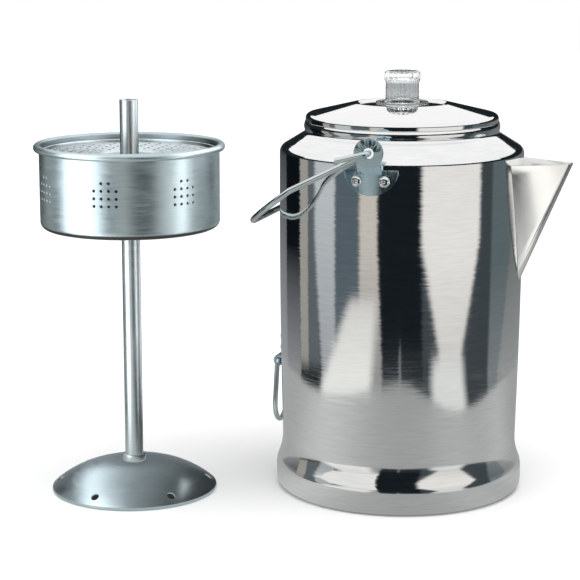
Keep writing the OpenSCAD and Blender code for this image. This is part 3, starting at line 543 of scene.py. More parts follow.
def riveted(name, rows, grip):
    """Rivets with dimpled heads and set tails on the given seats, grip millimetres thick."""
    tail_r, tail_z, dimple_r, head_h = RIVET_R * 1.6, -grip - RIVET_TAIL_H, RIVET_DIMPLE_R, RIVET_HEAD_H
    tail = [(0, tail_z), (tail_r - EDGE, tail_z), (tail_r, tail_z + EDGE), (tail_r, -grip)]
    shank = [(RIVET_R, -grip), (RIVET_R, 0), (RIVET_HEAD_R, 0)]
    head = [(dimple_r + (RIVET_HEAD_R - dimple_r) * math.cos(t), head_h * math.sin(t))
            for t in (math.radians(a) for a in range(10, 90, 10))]
    dimple = [(dimple_r * r, head_h * z) for r, z in ((1, 1), (0.86, 0.9), (0.7, 0.5), (0.4, 0.4), (0, 0.38))]
    obj = turned(name, tail + shank + head + dimple, steps=28)
    seats = seats_at(name + "_seats", rows)
    grow(obj, RIVETED, Seats=seats)
    discard(seats)
    return obj


def drawn(name, path, radius, closed=False, sides=24):
    """A wire along a path of points in millimetres."""
    count = len(path)
    edges = [(i, i + 1) for i in range(count - 1)] + ([(count - 1, 0)] if closed else [])
    obj = new_piece(name, path, edges=edges)
    grow(obj, WIRE, Radius=radius * MM, Sides=sides)
    outward(obj)
    return obj


WIRE, DRILLED, RIVETED = wire_tree(), perforate_tree(), rivet_tree()


# Finishes

# The scale of the lathe lines' noise per metre, across fine and coarse lines and along them.
FINE_LINES, COARSE_LINES, LINE_STREAK = 1300.0, 520.0, 70.0
# How deep pits and scratches go at full strength, in millimetres, and how far the dark stain of inner faces,
# deepened into painted shade, covers the metal.
PIT_DEPTH, SCRATCH_DEPTH, STAIN_AND_SHADE_SHARE = 0.1, 0.05, 0.94


def value(tree, operation, *given):
    """A Math node; given are sockets or numbers."""
    return node(tree, "Math", dict(enumerate(given)), operation=operation)[0]


def vector(tree, operation, *given):
    """A Vector Math node; given are sockets or vectors."""
    return node(tree, "VectorMath", dict(enumerate(given)), operation=operation)["Vector"]


def reach_from_axis(tree, place):
    """A place's flat part and its distance from the vertical axis."""
    flat = vector(tree, "MULTIPLY", place, (1, 1, 0))
    return flat, node(tree, "VectorMath", {0: flat}, operation="LENGTH")["Value"]


def ramp(tree, source, low, high, to_low=0.0, to_high=1.0):
    """A Map Range node from low-high to to_low-to_high."""
    return node(tree, "MapRange", {"Value": source, "From Min": low, "From Max": high,
                                             "To Min": to_low, "To Max": to_high})["Result"]


def mixed(tree, share, a, b):
    """A colour mix; a and b are colours or sockets."""
    a, b = ((*given, 1) if isinstance(given, tuple) else given for given in (a, b))
    return node(tree, "Mix", {0: share, 6: a, 7: b}, data_type="RGBA")[2]


def turning_marks():
    """Lathe lines: thin streaks that run round the piece, by height on walls and by radius on domes."""
    tree, start, end = tree_with("turning_marks", "ShaderNodeTree",
                                 [("Centre", VECTOR, (0, 0, 0)), ("Comb", FLOAT, 0.0)],
                                 [("Height", FLOAT), ("Tone", FLOAT), ("Normal", VECTOR)])
    spot = vector(tree, "SUBTRACT", node(tree, "TexCoord")["Object"], start["Centre"])
    split = node(tree, "SeparateXYZ", {0: spot})
    along = value(tree, "ADD", split["Z"], reach_from_axis(tree, spot)[1])
    streaks = []
    for lines, detail in ((FINE_LINES, 1.0), (COARSE_LINES, 3.0)):
        at = node(tree, "CombineXYZ", {"X": value(tree, "MULTIPLY", split["X"], LINE_STREAK),
                                                 "Y": value(tree, "MULTIPLY", split["Y"], LINE_STREAK),
                                                 "Z": value(tree, "MULTIPLY", along, lines)})
        noise = node(tree, "TexNoise", {"Vector": at[0], "Scale": 1.0, "Detail": detail})
        streaks.append(noise["Fac"])
    both = value(tree, "MULTIPLY", value(tree, "ADD", *streaks), 0.5)
    normal = node(tree, "NewGeometry")["Normal"]
    side = vector(tree, "CROSS_PRODUCT", (0, 0, 1), normal)
    share = value(tree, "MULTIPLY", value(tree, "SUBTRACT", streaks[0], 0.5), start["Comb"])
    lean = node(tree, "VectorMath", {0: side, "Scale": share}, operation="SCALE")["Vector"]
    link(tree, both, end["Height"])
    link(tree, ramp(tree, both, 0.38, 0.64), end["Tone"])
    link(tree, vector(tree, "NORMALIZE", vector(tree, "ADD", normal, lean)), end["Normal"])
    return tree


def handling_wear():
    """Cloudy handling film, small pits and thin scratches."""
    tree, start, end = tree_with("handling_wear", "ShaderNodeTree",
                                 [("Cloud", FLOAT, 18.0), ("Pits", FLOAT, 160.0), ("Scratches", FLOAT, 70.0)],
                                 [("Film", FLOAT), ("Pit", FLOAT), ("Scratch", FLOAT)])
    place = node(tree, "TexCoord")["Object"]
    cloud = node(tree, "TexNoise", {"Vector": place, "Scale": start["Cloud"], "Detail": 4})
    pits = node(tree, "TexVoronoi", {"Vector": place, "Scale": start["Pits"]})
    drawn_out = node(tree, "Mapping",
                     {"Vector": place, "Rotation": (0.5, 0.9, 0.4), "Scale": (1.0, 14.0, 1.0)})
    lines = node(tree, "TexNoise",
                 {"Vector": drawn_out["Vector"], "Scale": start["Scratches"], "Detail": 2})
    link(tree, cloud["Fac"], end["Film"])
    link(tree, ramp(tree, pits["Distance"], 0.05, 0.13, 1.0, 0.0), end["Pit"])
    link(tree, ramp(tree, lines["Fac"], 0.66, 0.74), end["Scratch"])
    return tree


MARKS, WEAR = turning_marks(), handling_wear()


def finish_with(name, values):
    """A new material with its shader's plain values set; gives it, its tree and the shader's inputs."""
    made = bpy.data.materials.new(name)
    made.use_nodes = True
    shader = made.node_tree.nodes["Principled BSDF"].inputs
    for key, given in values.items():
        shader[key].default_value = given
    return made, made.node_tree, shader


def metal(name, dark, bright, rough, centre=(0, 0, 0), lines=0.0, streaks=0.3, comb=0.0, stretch=0.0,
          cloud=18.0, pits=0.0, scratches=0.0, scratch_scale=70.0, stain=None):
    """A bare metal: dark and bright are its colour's limits, rough its roughness limits.

    lines is the depth of its lathe lines in millimetres, streaks their share of its tone and comb how far
    they lean to the side; stain is the colour of its wetted inner faces, a dark stain deepened into painted
    shade.
    """
    made, tree, shader = finish_with(name, {"Metallic": 1.0, "Anisotropic": stretch,
                                            "Anisotropic Rotation": 0.25})

    def scaled(source, by):
        return value(tree, "MULTIPLY", source, by)

    wear = node(tree, "Group", {"Cloud": cloud, "Scratches": scratch_scale}, node_tree=WEAR)
    marks = node(tree, "Group", {"Centre": centre, "Comb": comb}, node_tree=MARKS)
    share = value(tree, "ADD", scaled(wear["Film"], 1 - streaks), scaled(marks["Tone"], streaks))
    blur = value(tree, "ADD", share, scaled(wear["Scratch"], scratches))
    link(tree, ramp(tree, blur, 0.3, 0.7, *rough), shader["Roughness"])
    colour = mixed(tree, value(tree, "SUBTRACT", share, scaled(wear["Pit"], pits)), dark, bright)
    # Inner faces take a near-black colour: a stain, and painted shade inside the basket and under the foot.
    if stain:
        stained_and_shaded = node(tree, "Attribute", attribute_name="stain")["Fac"]
        colour = mixed(tree, scaled(stained_and_shaded, STAIN_AND_SHADE_SHARE), colour, stain)
    link(tree, colour, shader["Base Color"])
    height = scaled(marks["Height"], lines)
    height = value(tree, "SUBTRACT", height, scaled(wear["Pit"], pits * PIT_DEPTH))
    height = value(tree, "SUBTRACT", height, scaled(wear["Scratch"], scratches * SCRATCH_DEPTH))
    relief = node(tree, "Bump", {"Strength": 1.0, "Distance": MM, "Height": height,
                                           "Normal": marks["Normal"]})
    link(tree, relief["Normal"], shader["Normal"])
    return made


PUMP_CENTRE = (PUMP[0] * MM, PUMP[1] * MM, 0)
POLISHED = metal("polished_aluminium", (0.8, 0.81, 0.82), (0.95, 0.95, 0.94), (0.045, 0.1), lines=0.012,
                 streaks=0.45, comb=0.04, stretch=0.6)
LID_POLISH = metal("polished_lid", (0.86, 0.87, 0.87), (0.94, 0.94, 0.93), (0.03, 0.06), lines=0.002,
                   stretch=0.2)
FOLDED = metal("folded_aluminium", (0.88, 0.87, 0.85), (0.97, 0.97, 0.95), (0.14, 0.24), streaks=0.1,
               cloud=34.0, pits=0.02, scratches=0.03)
# The satin basket and the foot darken their inner faces nearly to black: stain and painted shade.
SATIN = metal("satin_aluminium", (0.45, 0.56, 0.6), (0.7, 0.81, 0.84), (0.34, 0.44), PUMP_CENTRE, lines=0.006,
              stretch=0.3, cloud=26.0, pits=0.06, scratches=0.08, stain=(0.055, 0.05, 0.045))
FOOT_SATIN = metal("spun_foot_aluminium", (0.5, 0.62, 0.67), (0.72, 0.82, 0.86), (0.28, 0.38), PUMP_CENTRE,
                   lines=0.006, cloud=30.0, pits=0.05, scratches=0.06, stain=(0.03, 0.032, 0.034))
SHEET = metal("rippled_aluminium", (0.6, 0.71, 0.75), (0.82, 0.9, 0.93), (0.26, 0.36), PUMP_CENTRE,
              lines=0.004, cloud=40.0)
TUBE = metal("drawn_tube_aluminium", (0.58, 0.66, 0.69), (0.76, 0.82, 0.84), (0.28, 0.36), PUMP_CENTRE,
             lines=0.002, cloud=30.0, pits=0.02, scratches=0.03, scratch_scale=120.0)
ZINC_PLATE = metal("zinc_plate", (0.36, 0.52, 0.6), (0.63, 0.79, 0.87), (0.18, 0.3), streaks=0.1, cloud=120.0,
                   pits=0.06, scratches=0.1)
ZINC_WIRE = metal("zinc_wire", (0.5, 0.57, 0.59), (0.76, 0.82, 0.83), (0.09, 0.18), streaks=0.1, cloud=90.0,
                  scratches=0.06)
RIVET = metal("bright_rivet", (0.7, 0.71, 0.71), (0.92, 0.92, 0.91), (0.1, 0.22), streaks=0.1, cloud=300.0)


def clear_glass(name):
    """Pressed, slightly wavy glass, clear in its head; in the knob's shank a ribbed grey that darkens towards
    its edges, painted shade for the dark surroundings seen through it.
    """
    made, tree, shader = finish_with(name, {"Transmission Weight": 1.0, "IOR": 1.48, "Roughness": 0.02})
    place = node(tree, "TexCoord")["Object"]
    wave = node(tree, "TexNoise", {"Vector": place, "Scale": 160})
    relief = node(tree, "Bump", {"Strength": 0.25, "Distance": 0.0006, "Height": wave["Fac"]})
    link(tree, relief["Normal"], shader["Normal"])
    height = node(tree, "SeparateXYZ", {0: place})["Z"]
    flat, reach = reach_from_axis(tree, place)
    ribs = node(tree, "TexNoise", {"Vector": flat, "Scale": 900})["Fac"]
    edge = node(tree, "LayerWeight", {"Blend": 0.5})["Facing"]
    above = ramp(tree, height, KNOB_SHANK_Z * MM, (KNOB_SHANK_Z + 1.5) * MM)
    below = ramp(tree, height, (KNOB_NECK_Z + 2.5) * MM, KNOB_NECK_Z * MM)
    outer = ramp(tree, reach, (KNOB_R - 0.6) * MM, (KNOB_R - 0.3) * MM)
    shank = value(tree, "MULTIPLY", value(tree, "MULTIPLY", above, below), outer)
    # Painted shade: the shank's ribbed grey, darker towards its grazing edges, stands for dark surroundings
    # seen through the glass.
    ribbed_grey_shade = mixed(tree, ramp(tree, ribs, 0.35, 0.65), (0.3, 0.31, 0.32), (0.5, 0.51, 0.52))
    shank_painted_shade = mixed(tree, ramp(tree, edge, 0.45, 0.95), ribbed_grey_shade, (0.09, 0.095, 0.1))
    link(tree, mixed(tree, shank, (0.95, 0.97, 0.97), shank_painted_shade), shader["Base Color"])
    return made


GLASS = clear_glass("knob_glass")


# Pot

def strainer_rows():
    """Holes in the wall behind the spout, in rows that narrow with it."""
    rows = []
    count = math.floor((SPOUT_Z - SPOUT_LOW_Z - 3 * STRAINER_PITCH) / STRAINER_PITCH)
    for row in range(count):
        z = SPOUT_Z - (row + 1.2) * STRAINER_PITCH
        across = max(1, math.floor((2 * spout_half(z) - STRAINER_PITCH) / STRAINER_PITCH))
        for i in range(across):
            y = (i - (across - 1) / 2) * STRAINER_PITCH
            rows.append(((math.sqrt(BODY_R ** 2 - y * y) - 0.6, y, z), (1, 0, 0)))
    return rows


pot = turned("pot_body", pot_line(0) + pot_line(POT_T)[::-1], steps=256)
drilled(pot, [(strainer_rows(), STRAINER_R, 6 * POT_T, 20)])
dress(pot, "pot", POLISHED, ["pot_shell", "pot_floor"])

spout = softened("spout_sheet", "spout", SPOUT_EDGE)
dress(spout, "pot", FOLDED, ["spout"])

ears = []
for side, outside in (("front", -1), ("rear", 1)):
    ear = softened(side + "_ear_plate", side + "_ear", EDGE, 3)
    fanned(ear, outside)
    ears.append(ear)
    dress(ear, "pot", ZINC_PLATE, [side + "_ear"])
    swing = math.asin(EAR_RIVET_GAP / 2 / WING_OUT_R)
    reach = WING_OUT_R + RIVET_SEAT
    rows = []
    for turn in (-swing, swing):
        out = (math.sin(turn), outside * math.cos(turn), 0)
        rows.append(((out[0] * reach, out[1] * reach, EAR_RIVET_Z), out))
    heads = riveted(side + "_rivet_pair", rows, EAR_T + SEAT + POT_T + 2 * RIVET_SEAT)
    dress(heads, "pot", RIVET, [side + "_ear_rivets"])

bracket = softened("ring_bracket_plate", "ring_bracket", BRACKET_EDGE)
dress(bracket, "pot", ZINC_PLATE, ["ring_bracket"])
bracket_x = -(BRACKET_X + BRACKET_T + RIVET_SEAT)
bracket_rows = [((bracket_x, 0, BRACKET_RIVET_Z + i * BRACKET_RIVET_GAP), (-1, 0, 0)) for i in (0, 1)]
bracket_heads = riveted("bracket_rivet_pair", bracket_rows, BRACKET_GRIP)
dress(bracket_heads, "pot", RIVET, ["ring_bracket_rivets"])


# Bail and tilting ring

def bail_path():
    """The bail's wire from hook to hook, in the pot's frame."""
    def tilt(angle):
        return Matrix.Rotation(math.radians(angle), 4, "Y")

    rest = Matrix.Translation((0, 0, PIVOT_Z)) @ Matrix.Rotation(math.pi, 4, "Z") @ tilt(BAIL_REST)
    bow = Matrix.Translation((BAIL_ARM_L, 0, 0)) @ tilt(BAIL_SET)
    half = [(tilt(-BAIL_HOOK_TURN) @ Vector((BAIL_HOOK_L, HOOK_Y, 0)), 0),
            (Vector((0, HOOK_Y, 0)), BAIL_HOOK_R),
            (Vector((0, ARM_Y, 0)), BAIL_HOOK_R),
            (Vector((BAIL_ARM_L, ARM_Y, 0)), BAIL_KINK_R),
            (bow @ Vector((BAIL_CORNER_R, ARM_Y, 0)), BAIL_CORNER_R - 1)]
    points = half + [(Vector((p.x, -p.y, p.z)), r) for p, r in half[::-1]]
    path = rounded_path([p for p, _ in points], [r for _, r in points], 14)
    return [rest @ p for p in path]


def ring_path():
    """The tilting ring's closed wire: a straight bar, two sides and a round end."""
    bend_r = RING_W / 2 - RING_R
    bend_z = RING_Z - RING_H + RING_R + bend_r
    bar = RING_BAR_W / 2
    side = math.hypot(bar, RING_Z - bend_z)
    touch = math.degrees(math.atan2(RING_Z - bend_z, bar) - math.acos(bend_r / side))
    low = arc((0, bend_z), bend_r, touch, -180 - touch, 36)
    top = rounded_path([(0, *low[0]), (0, bar, RING_Z), (0, -bar, RING_Z), (0, *low[-1])],
                       [0, RING_CORNER_R, RING_CORNER_R, 0], 6)
    return [(RING_X, y, z) for y, z in low] + [(RING_X, p.y, p.z) for p in top[1:-1][::-1]]


bail = drawn("bail_wire", bail_path(), BAIL_R)
dress(bail, "bail", ZINC_WIRE, ["bail"], sharp=50)
ring = drawn("tilting_ring_wire", ring_path(), RING_R, closed=True)
dress(ring, "tilting_ring", ZINC_WIRE, ["tilting_ring"], sharp=50)


# Lid and knob

lid_section, recess_z = lid_loop()
lid = turned("lid_dome", lid_section, steps=256)
dress(lid, "lid", LID_POLISH, ["lid"])


def knob_piece():
    """The hollow glass knob with its fluted head, flange and stub."""
    z = recess_z + SEAT
    top = z + KNOB_H
    low = recess_z - LID_T - LIFT - KNOB_LUG_H
    head = top - KNOB_HEAD_H
    bore = KNOB_R - KNOB_WALL
    roof = top - KNOB_ROOF
    flange, round_r = z + KNOB_FLANGE_H, KNOB_FLANGE_H / 2
    plain = ([(0, roof), (bore * 0.6, roof)]
             + bend((bore * 0.6, roof), (bore, roof), (bore, roof - 2.5), 6)[1:]
             + [(bore, low), (KNOB_R, low), (KNOB_R, z - 0.01), (KNOB_FLANGE_R - 0.4, z)]
             + arc((KNOB_FLANGE_R - round_r, z + round_r), round_r, -70, 90, 8)
             + bend((KNOB_R + KNOB_FILLET, flange), (KNOB_R, flange), (KNOB_R, flange + KNOB_FILLET), 6)
             + [(KNOB_R, head - KNOB_SWELL)])
    crown = (bend((KNOB_R, head - KNOB_SWELL), (KNOB_HEAD_R, head), (KNOB_HEAD_R, head + 1.4), 5)[1:]
             + [(KNOB_HEAD_R, head + 2.6), (KNOB_HEAD_R, top - 2.2)]
             + bend((KNOB_HEAD_R, top - 2.2), (KNOB_HEAD_R, top - 0.3), (KNOB_HEAD_R - 2.4, top), 6)[1:]
             + [(KNOB_HEAD_R - 4.5, top - 0.15), (KNOB_R * 0.4, top - 0.2), (0, top - 0.2)])
    first, last = len(plain) + 1, len(plain) + 8

    def flute(k, a):
        if not first <= k <= last:
            return 0.0
        dip = max(0.0, math.cos(KNOB_FLUTES * a)) ** 1.5
        return -KNOB_FLUTE_DEPTH * dip * math.sin(math.pi * (k - first + 0.6) / (last - first + 1.2))

    return turned("knob_glass_body", plain + crown, steps=240, flute=flute)


knob = knob_piece()
dress(knob, "knob", GLASS, ["knob"], sharp=40)


# Pump

def ring_holes(r, pitch, share, z):
    """A ring of evenly spaced holes down through a floor, turned by a share of their spacing."""
    count = math.floor(2 * math.pi * r / pitch)
    turns = [(i + share) * 2 * math.pi / count for i in range(count)]
    return [((PUMP[0] + r * math.cos(t), PUMP[1] + r * math.sin(t), z), (0, 0, 1)) for t in turns]


def basket_wall_holes():
    """Groups of holes round the wall, two in the top row and four in each row below."""
    rows = []
    step = BASKET_HOLE_PITCH / BASKET_R
    for group in range(BASKET_GROUPS):
        middle = math.radians(BASKET_GROUP_TURN + group * 360 / BASKET_GROUPS)
        for row, count in enumerate(HOLE_ROWS):
            z = BASKET_TOP_Z - BASKET_HOLE_DROP - row * BASKET_HOLE_PITCH
            for i in range(count):
                t = middle + (i - (count - 1) / 2) * step
                out = (math.cos(t), math.sin(t), 0)
                reach = BASKET_R - BASKET_T / 2
                rows.append(((PUMP[0] + out[0] * reach, PUMP[1] + out[1] * reach, z), out))
    return rows


def foot_hole_rows():
    """The foot's drain holes, square to the dome."""
    r = foot_bow()
    reach = FOOT_R - FOOT_HOLE_INSET
    tilt = math.asin((reach - FOOT_LAND_R) / r)
    z = FOOT_H - r * (1 - math.cos(tilt))
    rows = []
    for i in range(FOOT_HOLES):
        t = math.radians(FOOT_HOLE_TURN + i * 360 / FOOT_HOLES)
        axis = (math.sin(tilt) * math.cos(t), math.sin(tilt) * math.sin(t), math.cos(tilt))
        rows.append(((PUMP[0] + reach * math.cos(t), PUMP[1] + reach * math.sin(t), z), axis))
    return rows


basket_z = BASKET_TOP_Z - BASKET_H


def in_basket(r, z):
    """Whether a point of the basket's section lies on its inner side, under the spreader."""
    return r < BASKET_R - 0.6 * BASKET_T and basket_z + 0.6 * BASKET_T < z < SPREADER_Z


basket = turned("basket_cup", basket_loop(), PUMP, inside=in_basket)
floor_holes = []
for tier in range(BASKET_FLOOR_RINGS):
    floor_r = SLEEVE_FLANGE_R + BASKET_FLOOR_PITCH / 2 + tier * BASKET_FLOOR_PITCH
    floor_holes += ring_holes(floor_r, BASKET_FLOOR_PITCH, tier / 2, basket_z + BASKET_T / 2)
drilled(basket, [(basket_wall_holes(), BASKET_HOLE_R, 3 * BASKET_T, 14),
                 (floor_holes, BASKET_HOLE_R, 4 * BASKET_T, 10)])
dress(basket, "basket", SATIN, ["basket"])

sleeve = turned("basket_sleeve_tube", sleeve_loop(), PUMP, 96)
dress(sleeve, "basket", TUBE, ["basket_sleeve"])

spreader = turned("spreader_disc", spreader_loop(), PUMP)
spreader_holes = []
ripple_w = (SPREADER_R - SPREADER_T - SPREADER_LAND_R) / (2 * SPREADER_RIPPLES + 1)
for tier in range(SPREADER_RIPPLES):
    spreader_holes += ring_holes(SPREADER_LAND_R + (2 * tier + 1.5) * ripple_w, SPREADER_HOLE_PITCH, tier / 2,
                                 SPREADER_Z + SPREADER_T / 2)
drilled(spreader, [(spreader_holes, SPREADER_HOLE_R, 5 * SPREADER_T, 10)])
dress(spreader, "spreader", SHEET, ["spreader"])

stem = turned("stem_pipe", stem_loop(), PUMP, 128)
dress(stem, "pump", TUBE, ["stem_tube"])

foot = turned("foot_dome", foot_loop(), PUMP, inside=under_foot)
drilled(foot, [(foot_hole_rows(), FOOT_HOLE_R, 5 * FOOT_T, 24)])
dress(foot, "pump", FOOT_SATIN, ["pump_foot"])

collar_z = FOOT_H + SEAT
collar_section = ring_loop(STEM_R + PRESS, COLLAR_R, collar_z, collar_z + COLLAR_H, COLLAR_EDGE)
collar = turned("foot_collar_ring", collar_section, PUMP, 128)
dress(collar, "pump", TUBE, ["foot_collar"])
stop_z = basket_z - SEAT - STOP_H
stop_section = ring_loop(STEM_R + PRESS, STOP_R, stop_z, stop_z + STOP_H, STOP_EDGE)
stop = turned("basket_stop_ring", stop_section, PUMP, 96)
dress(stop, "pump", TUBE, ["basket_stop"])


# Studio

# Studio cards stand in a drum round the table. Turns are degrees right of the camera, seen from the pot.
DRUM_R, DRUM_SIDE_H, DRUM_BACK_H, CARD_REF_H, BACK_TURN = 400.0, 330.0, 367.5, 125.0, 98.0
DRUM_STEP, DRUM_RISE, CARD_SOFT_H = 1.0, 5.0, 14.0
# How far the cards' feet lie in over the table: (turn, millimetres) along a line.
CARD_FEET = ((-180, 0), (-130, 10), (-110, 22), (-88, 48), (-64, 63), (-42, 52), (-20, 28), (-2, 4), (10, 14),
             (25, 52), (40, 88), (52, 99), (70, 88), (90, 60), (110, 35), (150, 10), (180, 0))
FALL_PER_RISE, FADE_FALL = 3.6, 16.0
FLARE_CARD_TURNS, FLARE_CARD_STEP, FLARE_CARD_REACH = (-82.0, -14.5, 2.5), -52.0, (81.5, 138.0, 200.0)
FLARE_CARD_Z = 37.5
FLARE_CARD_TONE = (0.84, 0.84, 0.82)
# The card over the foot and down its right side: (millimetres right of the pump's axis, height, grey).
FOOT_CARD = ((-150, 110, 0.1), (-122, 110, 0.6), (-95, 110, 1.7), (-68, 110, 1.2), (-38, 110, 0.6),
             (-8, 110, 0.34), (20, 100, 0.28), (45, 60, 0.12), (60, 33, 0.05), (64, 0, 0.03))
FOOT_CARD_NEAR = (-170.0, 120.0)
TABLE_FALLS, TABLE_Z = tuple(6.0 * i for i in range(21)) + (DRUM_R,), -0.1
SHADE = (0.012, 0.016, 0.018)
# The table's grey, and where it is paler: (turn, width, rise).
TABLE_GREY = 0.36
TABLE_RISES = ((-62, 34, 0.21), (48, 24, 0.09), (95, 22, 0.12), (-150, 40, 0.04))
# Each card: its colour at the foot, its colour higher up, the height where that is reached, its edges
# at the foot, its edges at the reference height, its lower and upper ends and the softness of its edges.
CARDS = (
    ((0.32, 0.33, 0.34), (0.05, 0.055, 0.06), 200, (-190, -126), (-190, -126), -50, 250, 3.0),
    ((0.26, 0.27, 0.28), (0.004, 0.006, 0.008), 110, (-127, -100), (-127, -101), -50, 250, 3.0),
    ((0.33, 0.32, 0.30), (0.35, 0.34, 0.31), 100, (-100, -88), (-100, -88), 5, 250, 2.5),
    ((0.12, 0.14, 0.15), (0.11, 0.13, 0.14), 100, (-88, -74), (-88, -80), 5, 250, 3.0),
    ((0.36, 0.38, 0.40), (0.52, 0.55, 0.57), 160, (-72, -56), (-80, -57), -50, 250, 5.0),
    ((0.12, 0.15, 0.17), (0.095, 0.125, 0.145), 100, (-57, -35), (-57, -35), -50, 250, 5.0),
    ((0.30, 0.30, 0.30), (0.58, 0.55, 0.50), 120, (-35, -14), (-35, -19), -50, 250, 4.0),
    ((0.03, 0.036, 0.04), (0.008, 0.012, 0.015), 40, (-14, 22), (-19, 18), -50, 250, 2.5),
    ((0.05, 0.06, 0.066), (0.05, 0.062, 0.07), 100, (20, 85), (17, 85), -50, 250, 3.0),
    ((0.20, 0.22, 0.23), (0.11, 0.14, 0.15), 100, (85, 190), (85, 190), -50, 250, 4.0),
    ((0.30, 0.31, 0.31), (0.17, 0.18, 0.18), 100, (100, 190), (118, 190), -50, 250, 6.0),
    ((0.64, 0.63, 0.61), (0.84, 0.82, 0.79), 110, (38, 51), (17, 71), -50, 250, 5.0),
    ((0.76, 0.77, 0.75), (0.68, 0.68, 0.66), 40, (28, 58), (30, 48), -50, 20, 9.0),
    ((0.88, 0.88, 0.85), (0.70, 0.69, 0.66), 75, (-68, -24), (-25, -17), -50, 74, 9.0),
    ((0.2, 0.22, 0.23), (0.16, 0.18, 0.19), 90, (-0.4, 1.4), (-0.2, 1.2), -50, 30, 1.5),
)


def eased(x):
    x = min(1.0, max(0.0, x))
    return x * x * (3 - 2 * x)


def blend(a, b, share):
    return tuple(p + (q - p) * share for p, q in zip(a, b))


def drum_colour(turn, z):
    """What stands round the table at a turn and a height: upright cards, with dark cloth above them."""
    tone = SHADE
    for low, high, fade_h, foot, upper, low_z, high_z, soft in CARDS:
        share = min(1.0, z / CARD_REF_H)
        left, right = (p + (q - p) * share for p, q in zip(foot, upper))
        mask = (eased((turn - left) / soft + 0.5) * eased((right - turn) / soft + 0.5)
                * eased((z - low_z) / CARD_SOFT_H + 0.5) * eased((high_z - z) / CARD_SOFT_H + 0.5))
        tone = blend(tone, blend(low, high, min(1.0, max(0.0, z / fade_h))), mask)
    return tone


def table_colour(turn):
    """The grey of the table top: paler towards the left and the right than in front."""
    tone = TABLE_GREY
    for middle, width, rise in TABLE_RISES:
        tone += rise * math.exp(-((turn - middle) / width) ** 2)
    return (tone * 0.99, tone * 1.02, tone)


def surround_colour(turn, z, fall):
    """The colour at a height on the drum, or at a fall inwards from its foot, where the cards end."""
    for (left, near), (right, far) in zip(CARD_FEET, CARD_FEET[1:]):
        if left <= turn <= right:
            end = near + (far - near) * (turn - left) / (right - left)
    share = eased((fall - z * FALL_PER_RISE - end) / FADE_FALL + 0.5)
    return blend(drum_colour(turn, z - fall / FALL_PER_RISE), table_colour(turn), share)


def glowing(obj, tones, one_sided=False):
    """Lets a stage piece shine with its own colours, in reflections only, from one side or from both."""
    colours = obj.data.attributes.new("tone", "FLOAT_COLOR", "POINT")
    colours.data.foreach_set("color", [v for tone in tones for v in (*tone, 1.0)])
    made = bpy.data.materials.new(obj.name)
    made.use_nodes = True
    tree = made.node_tree
    tree.nodes.clear()
    tone = node(tree, "Attribute", attribute_name="tone")["Color"]
    glow = node(tree, "Emission", {"Color": tone})[0]
    if one_sided:
        behind = node(tree, "NewGeometry")["Backfacing"]
        clear = node(tree, "BsdfTransparent")[0]
        glow = node(tree, "MixShader", {0: behind, 1: glow, 2: clear})[0]
    node(tree, "OutputMaterial", {"Surface": glow})
    obj.data.materials.append(made)
    obj.visible_camera = obj.visible_diffuse = obj.visible_shadow = False
    obj.visible_transmission = obj.visible_volume_scatter = False


def facing(turn):
    """The direction from the pot at a turn in degrees right of the camera."""
    t = math.radians(VIEW_AZIMUTH + turn)
    return math.sin(t), -math.cos(t)


def beside_pump(right, near, z):
    """A place given from the pump's axis as the camera sees it: millimetres right, nearer and up."""
    side, front = facing(90), facing(0)
    return (PUMP[0] + right * side[0] + near * front[0], PUMP[1] + right * side[1] + near * front[1], z)


def card(name, columns, overhead=False, keep=lambda i, k: True):
    """A stage piece from columns of (place, colour) rows, without the quads that keep refuses.

    An overhead card hangs over a low piece, and only what lies under it sees it.
    """
    rows = len(columns[0])
    places, tones = zip(*(row for column in columns for row in column))
    faces = [(i * rows + k, (i + 1) * rows + k, (i + 1) * rows + k + 1, i * rows + k + 1)
             for i in range(len(columns) - 1) for k in range(rows - 1) if keep(i, k)]
    obj = new_piece(name, places, faces=faces)
    if overhead and obj.data.polygons[0].normal.z > 0:
        obj.data.flip_normals()
    glowing(obj, tones, one_sided=overhead)


def at_turn(turn, reach, z):
    """A place at a turn, a distance from the pot's axis and a height."""
    x, y = facing(turn)
    return (x * reach, y * reach, z)


# The drum of cards stands higher behind the pot than at its sides and in front.
drum_turns = [-180 + DRUM_STEP * i for i in range(round(360 / DRUM_STEP) + 1)]
drum_heights = [DRUM_RISE * i for i in range(round(DRUM_BACK_H / DRUM_RISE) + 1)]
card("card_drum", [[(at_turn(turn, DRUM_R, z), surround_colour(turn, z, 0.0)) for z in drum_heights]
                   for turn in drum_turns],
     keep=lambda i, k: drum_heights[k] < DRUM_SIDE_H or abs(drum_turns[i]) > BACK_TURN)
card("table_top", [[(at_turn(turn, DRUM_R - fall, TABLE_Z), surround_colour(turn, 0.0, fall))
                    for fall in TABLE_FALLS] for turn in drum_turns])

# A pale card hangs round the left of the pot, for the flare above its base.
flare_left, flare_right, flare_step = FLARE_CARD_TURNS
flare_near, flare_far, flare_wide = FLARE_CARD_REACH
flare_columns = []
for i in range(round((flare_right - flare_left) / flare_step) + 1):
    turn = flare_left + flare_step * i
    ends = (flare_near, flare_far if turn < FLARE_CARD_STEP else flare_wide)
    flare_columns.append([(at_turn(turn, reach, FLARE_CARD_Z), FLARE_CARD_TONE) for reach in ends])
card("flare_card", flare_columns, overhead=True)

# The card over the foot is pale at the left and dark at the right.
card("foot_card", [[(beside_pump(right, near, z), (tone * 0.97, tone, tone)) for near in FOOT_CARD_NEAR]
                   for right, z, tone in FOOT_CARD], overhead=True)

FLOOR_REACH, FLOOR_Z = 4000, -0.3
floor_corners = [(x * FLOOR_REACH, y * FLOOR_REACH, FLOOR_Z) for x, y in ((-1, -1), (1, -1), (1, 1), (-1, 1))]
floor = new_piece("floor", floor_corners, faces=[(0, 1, 2, 3)])
pale, _, _ = finish_with("pale_floor", {"Base Color": (0.86, 0.86, 0.86, 1), "Roughness": 0.9,
                                        "Specular IOR Level": 0.0})
floor.data.materials.append(pale)

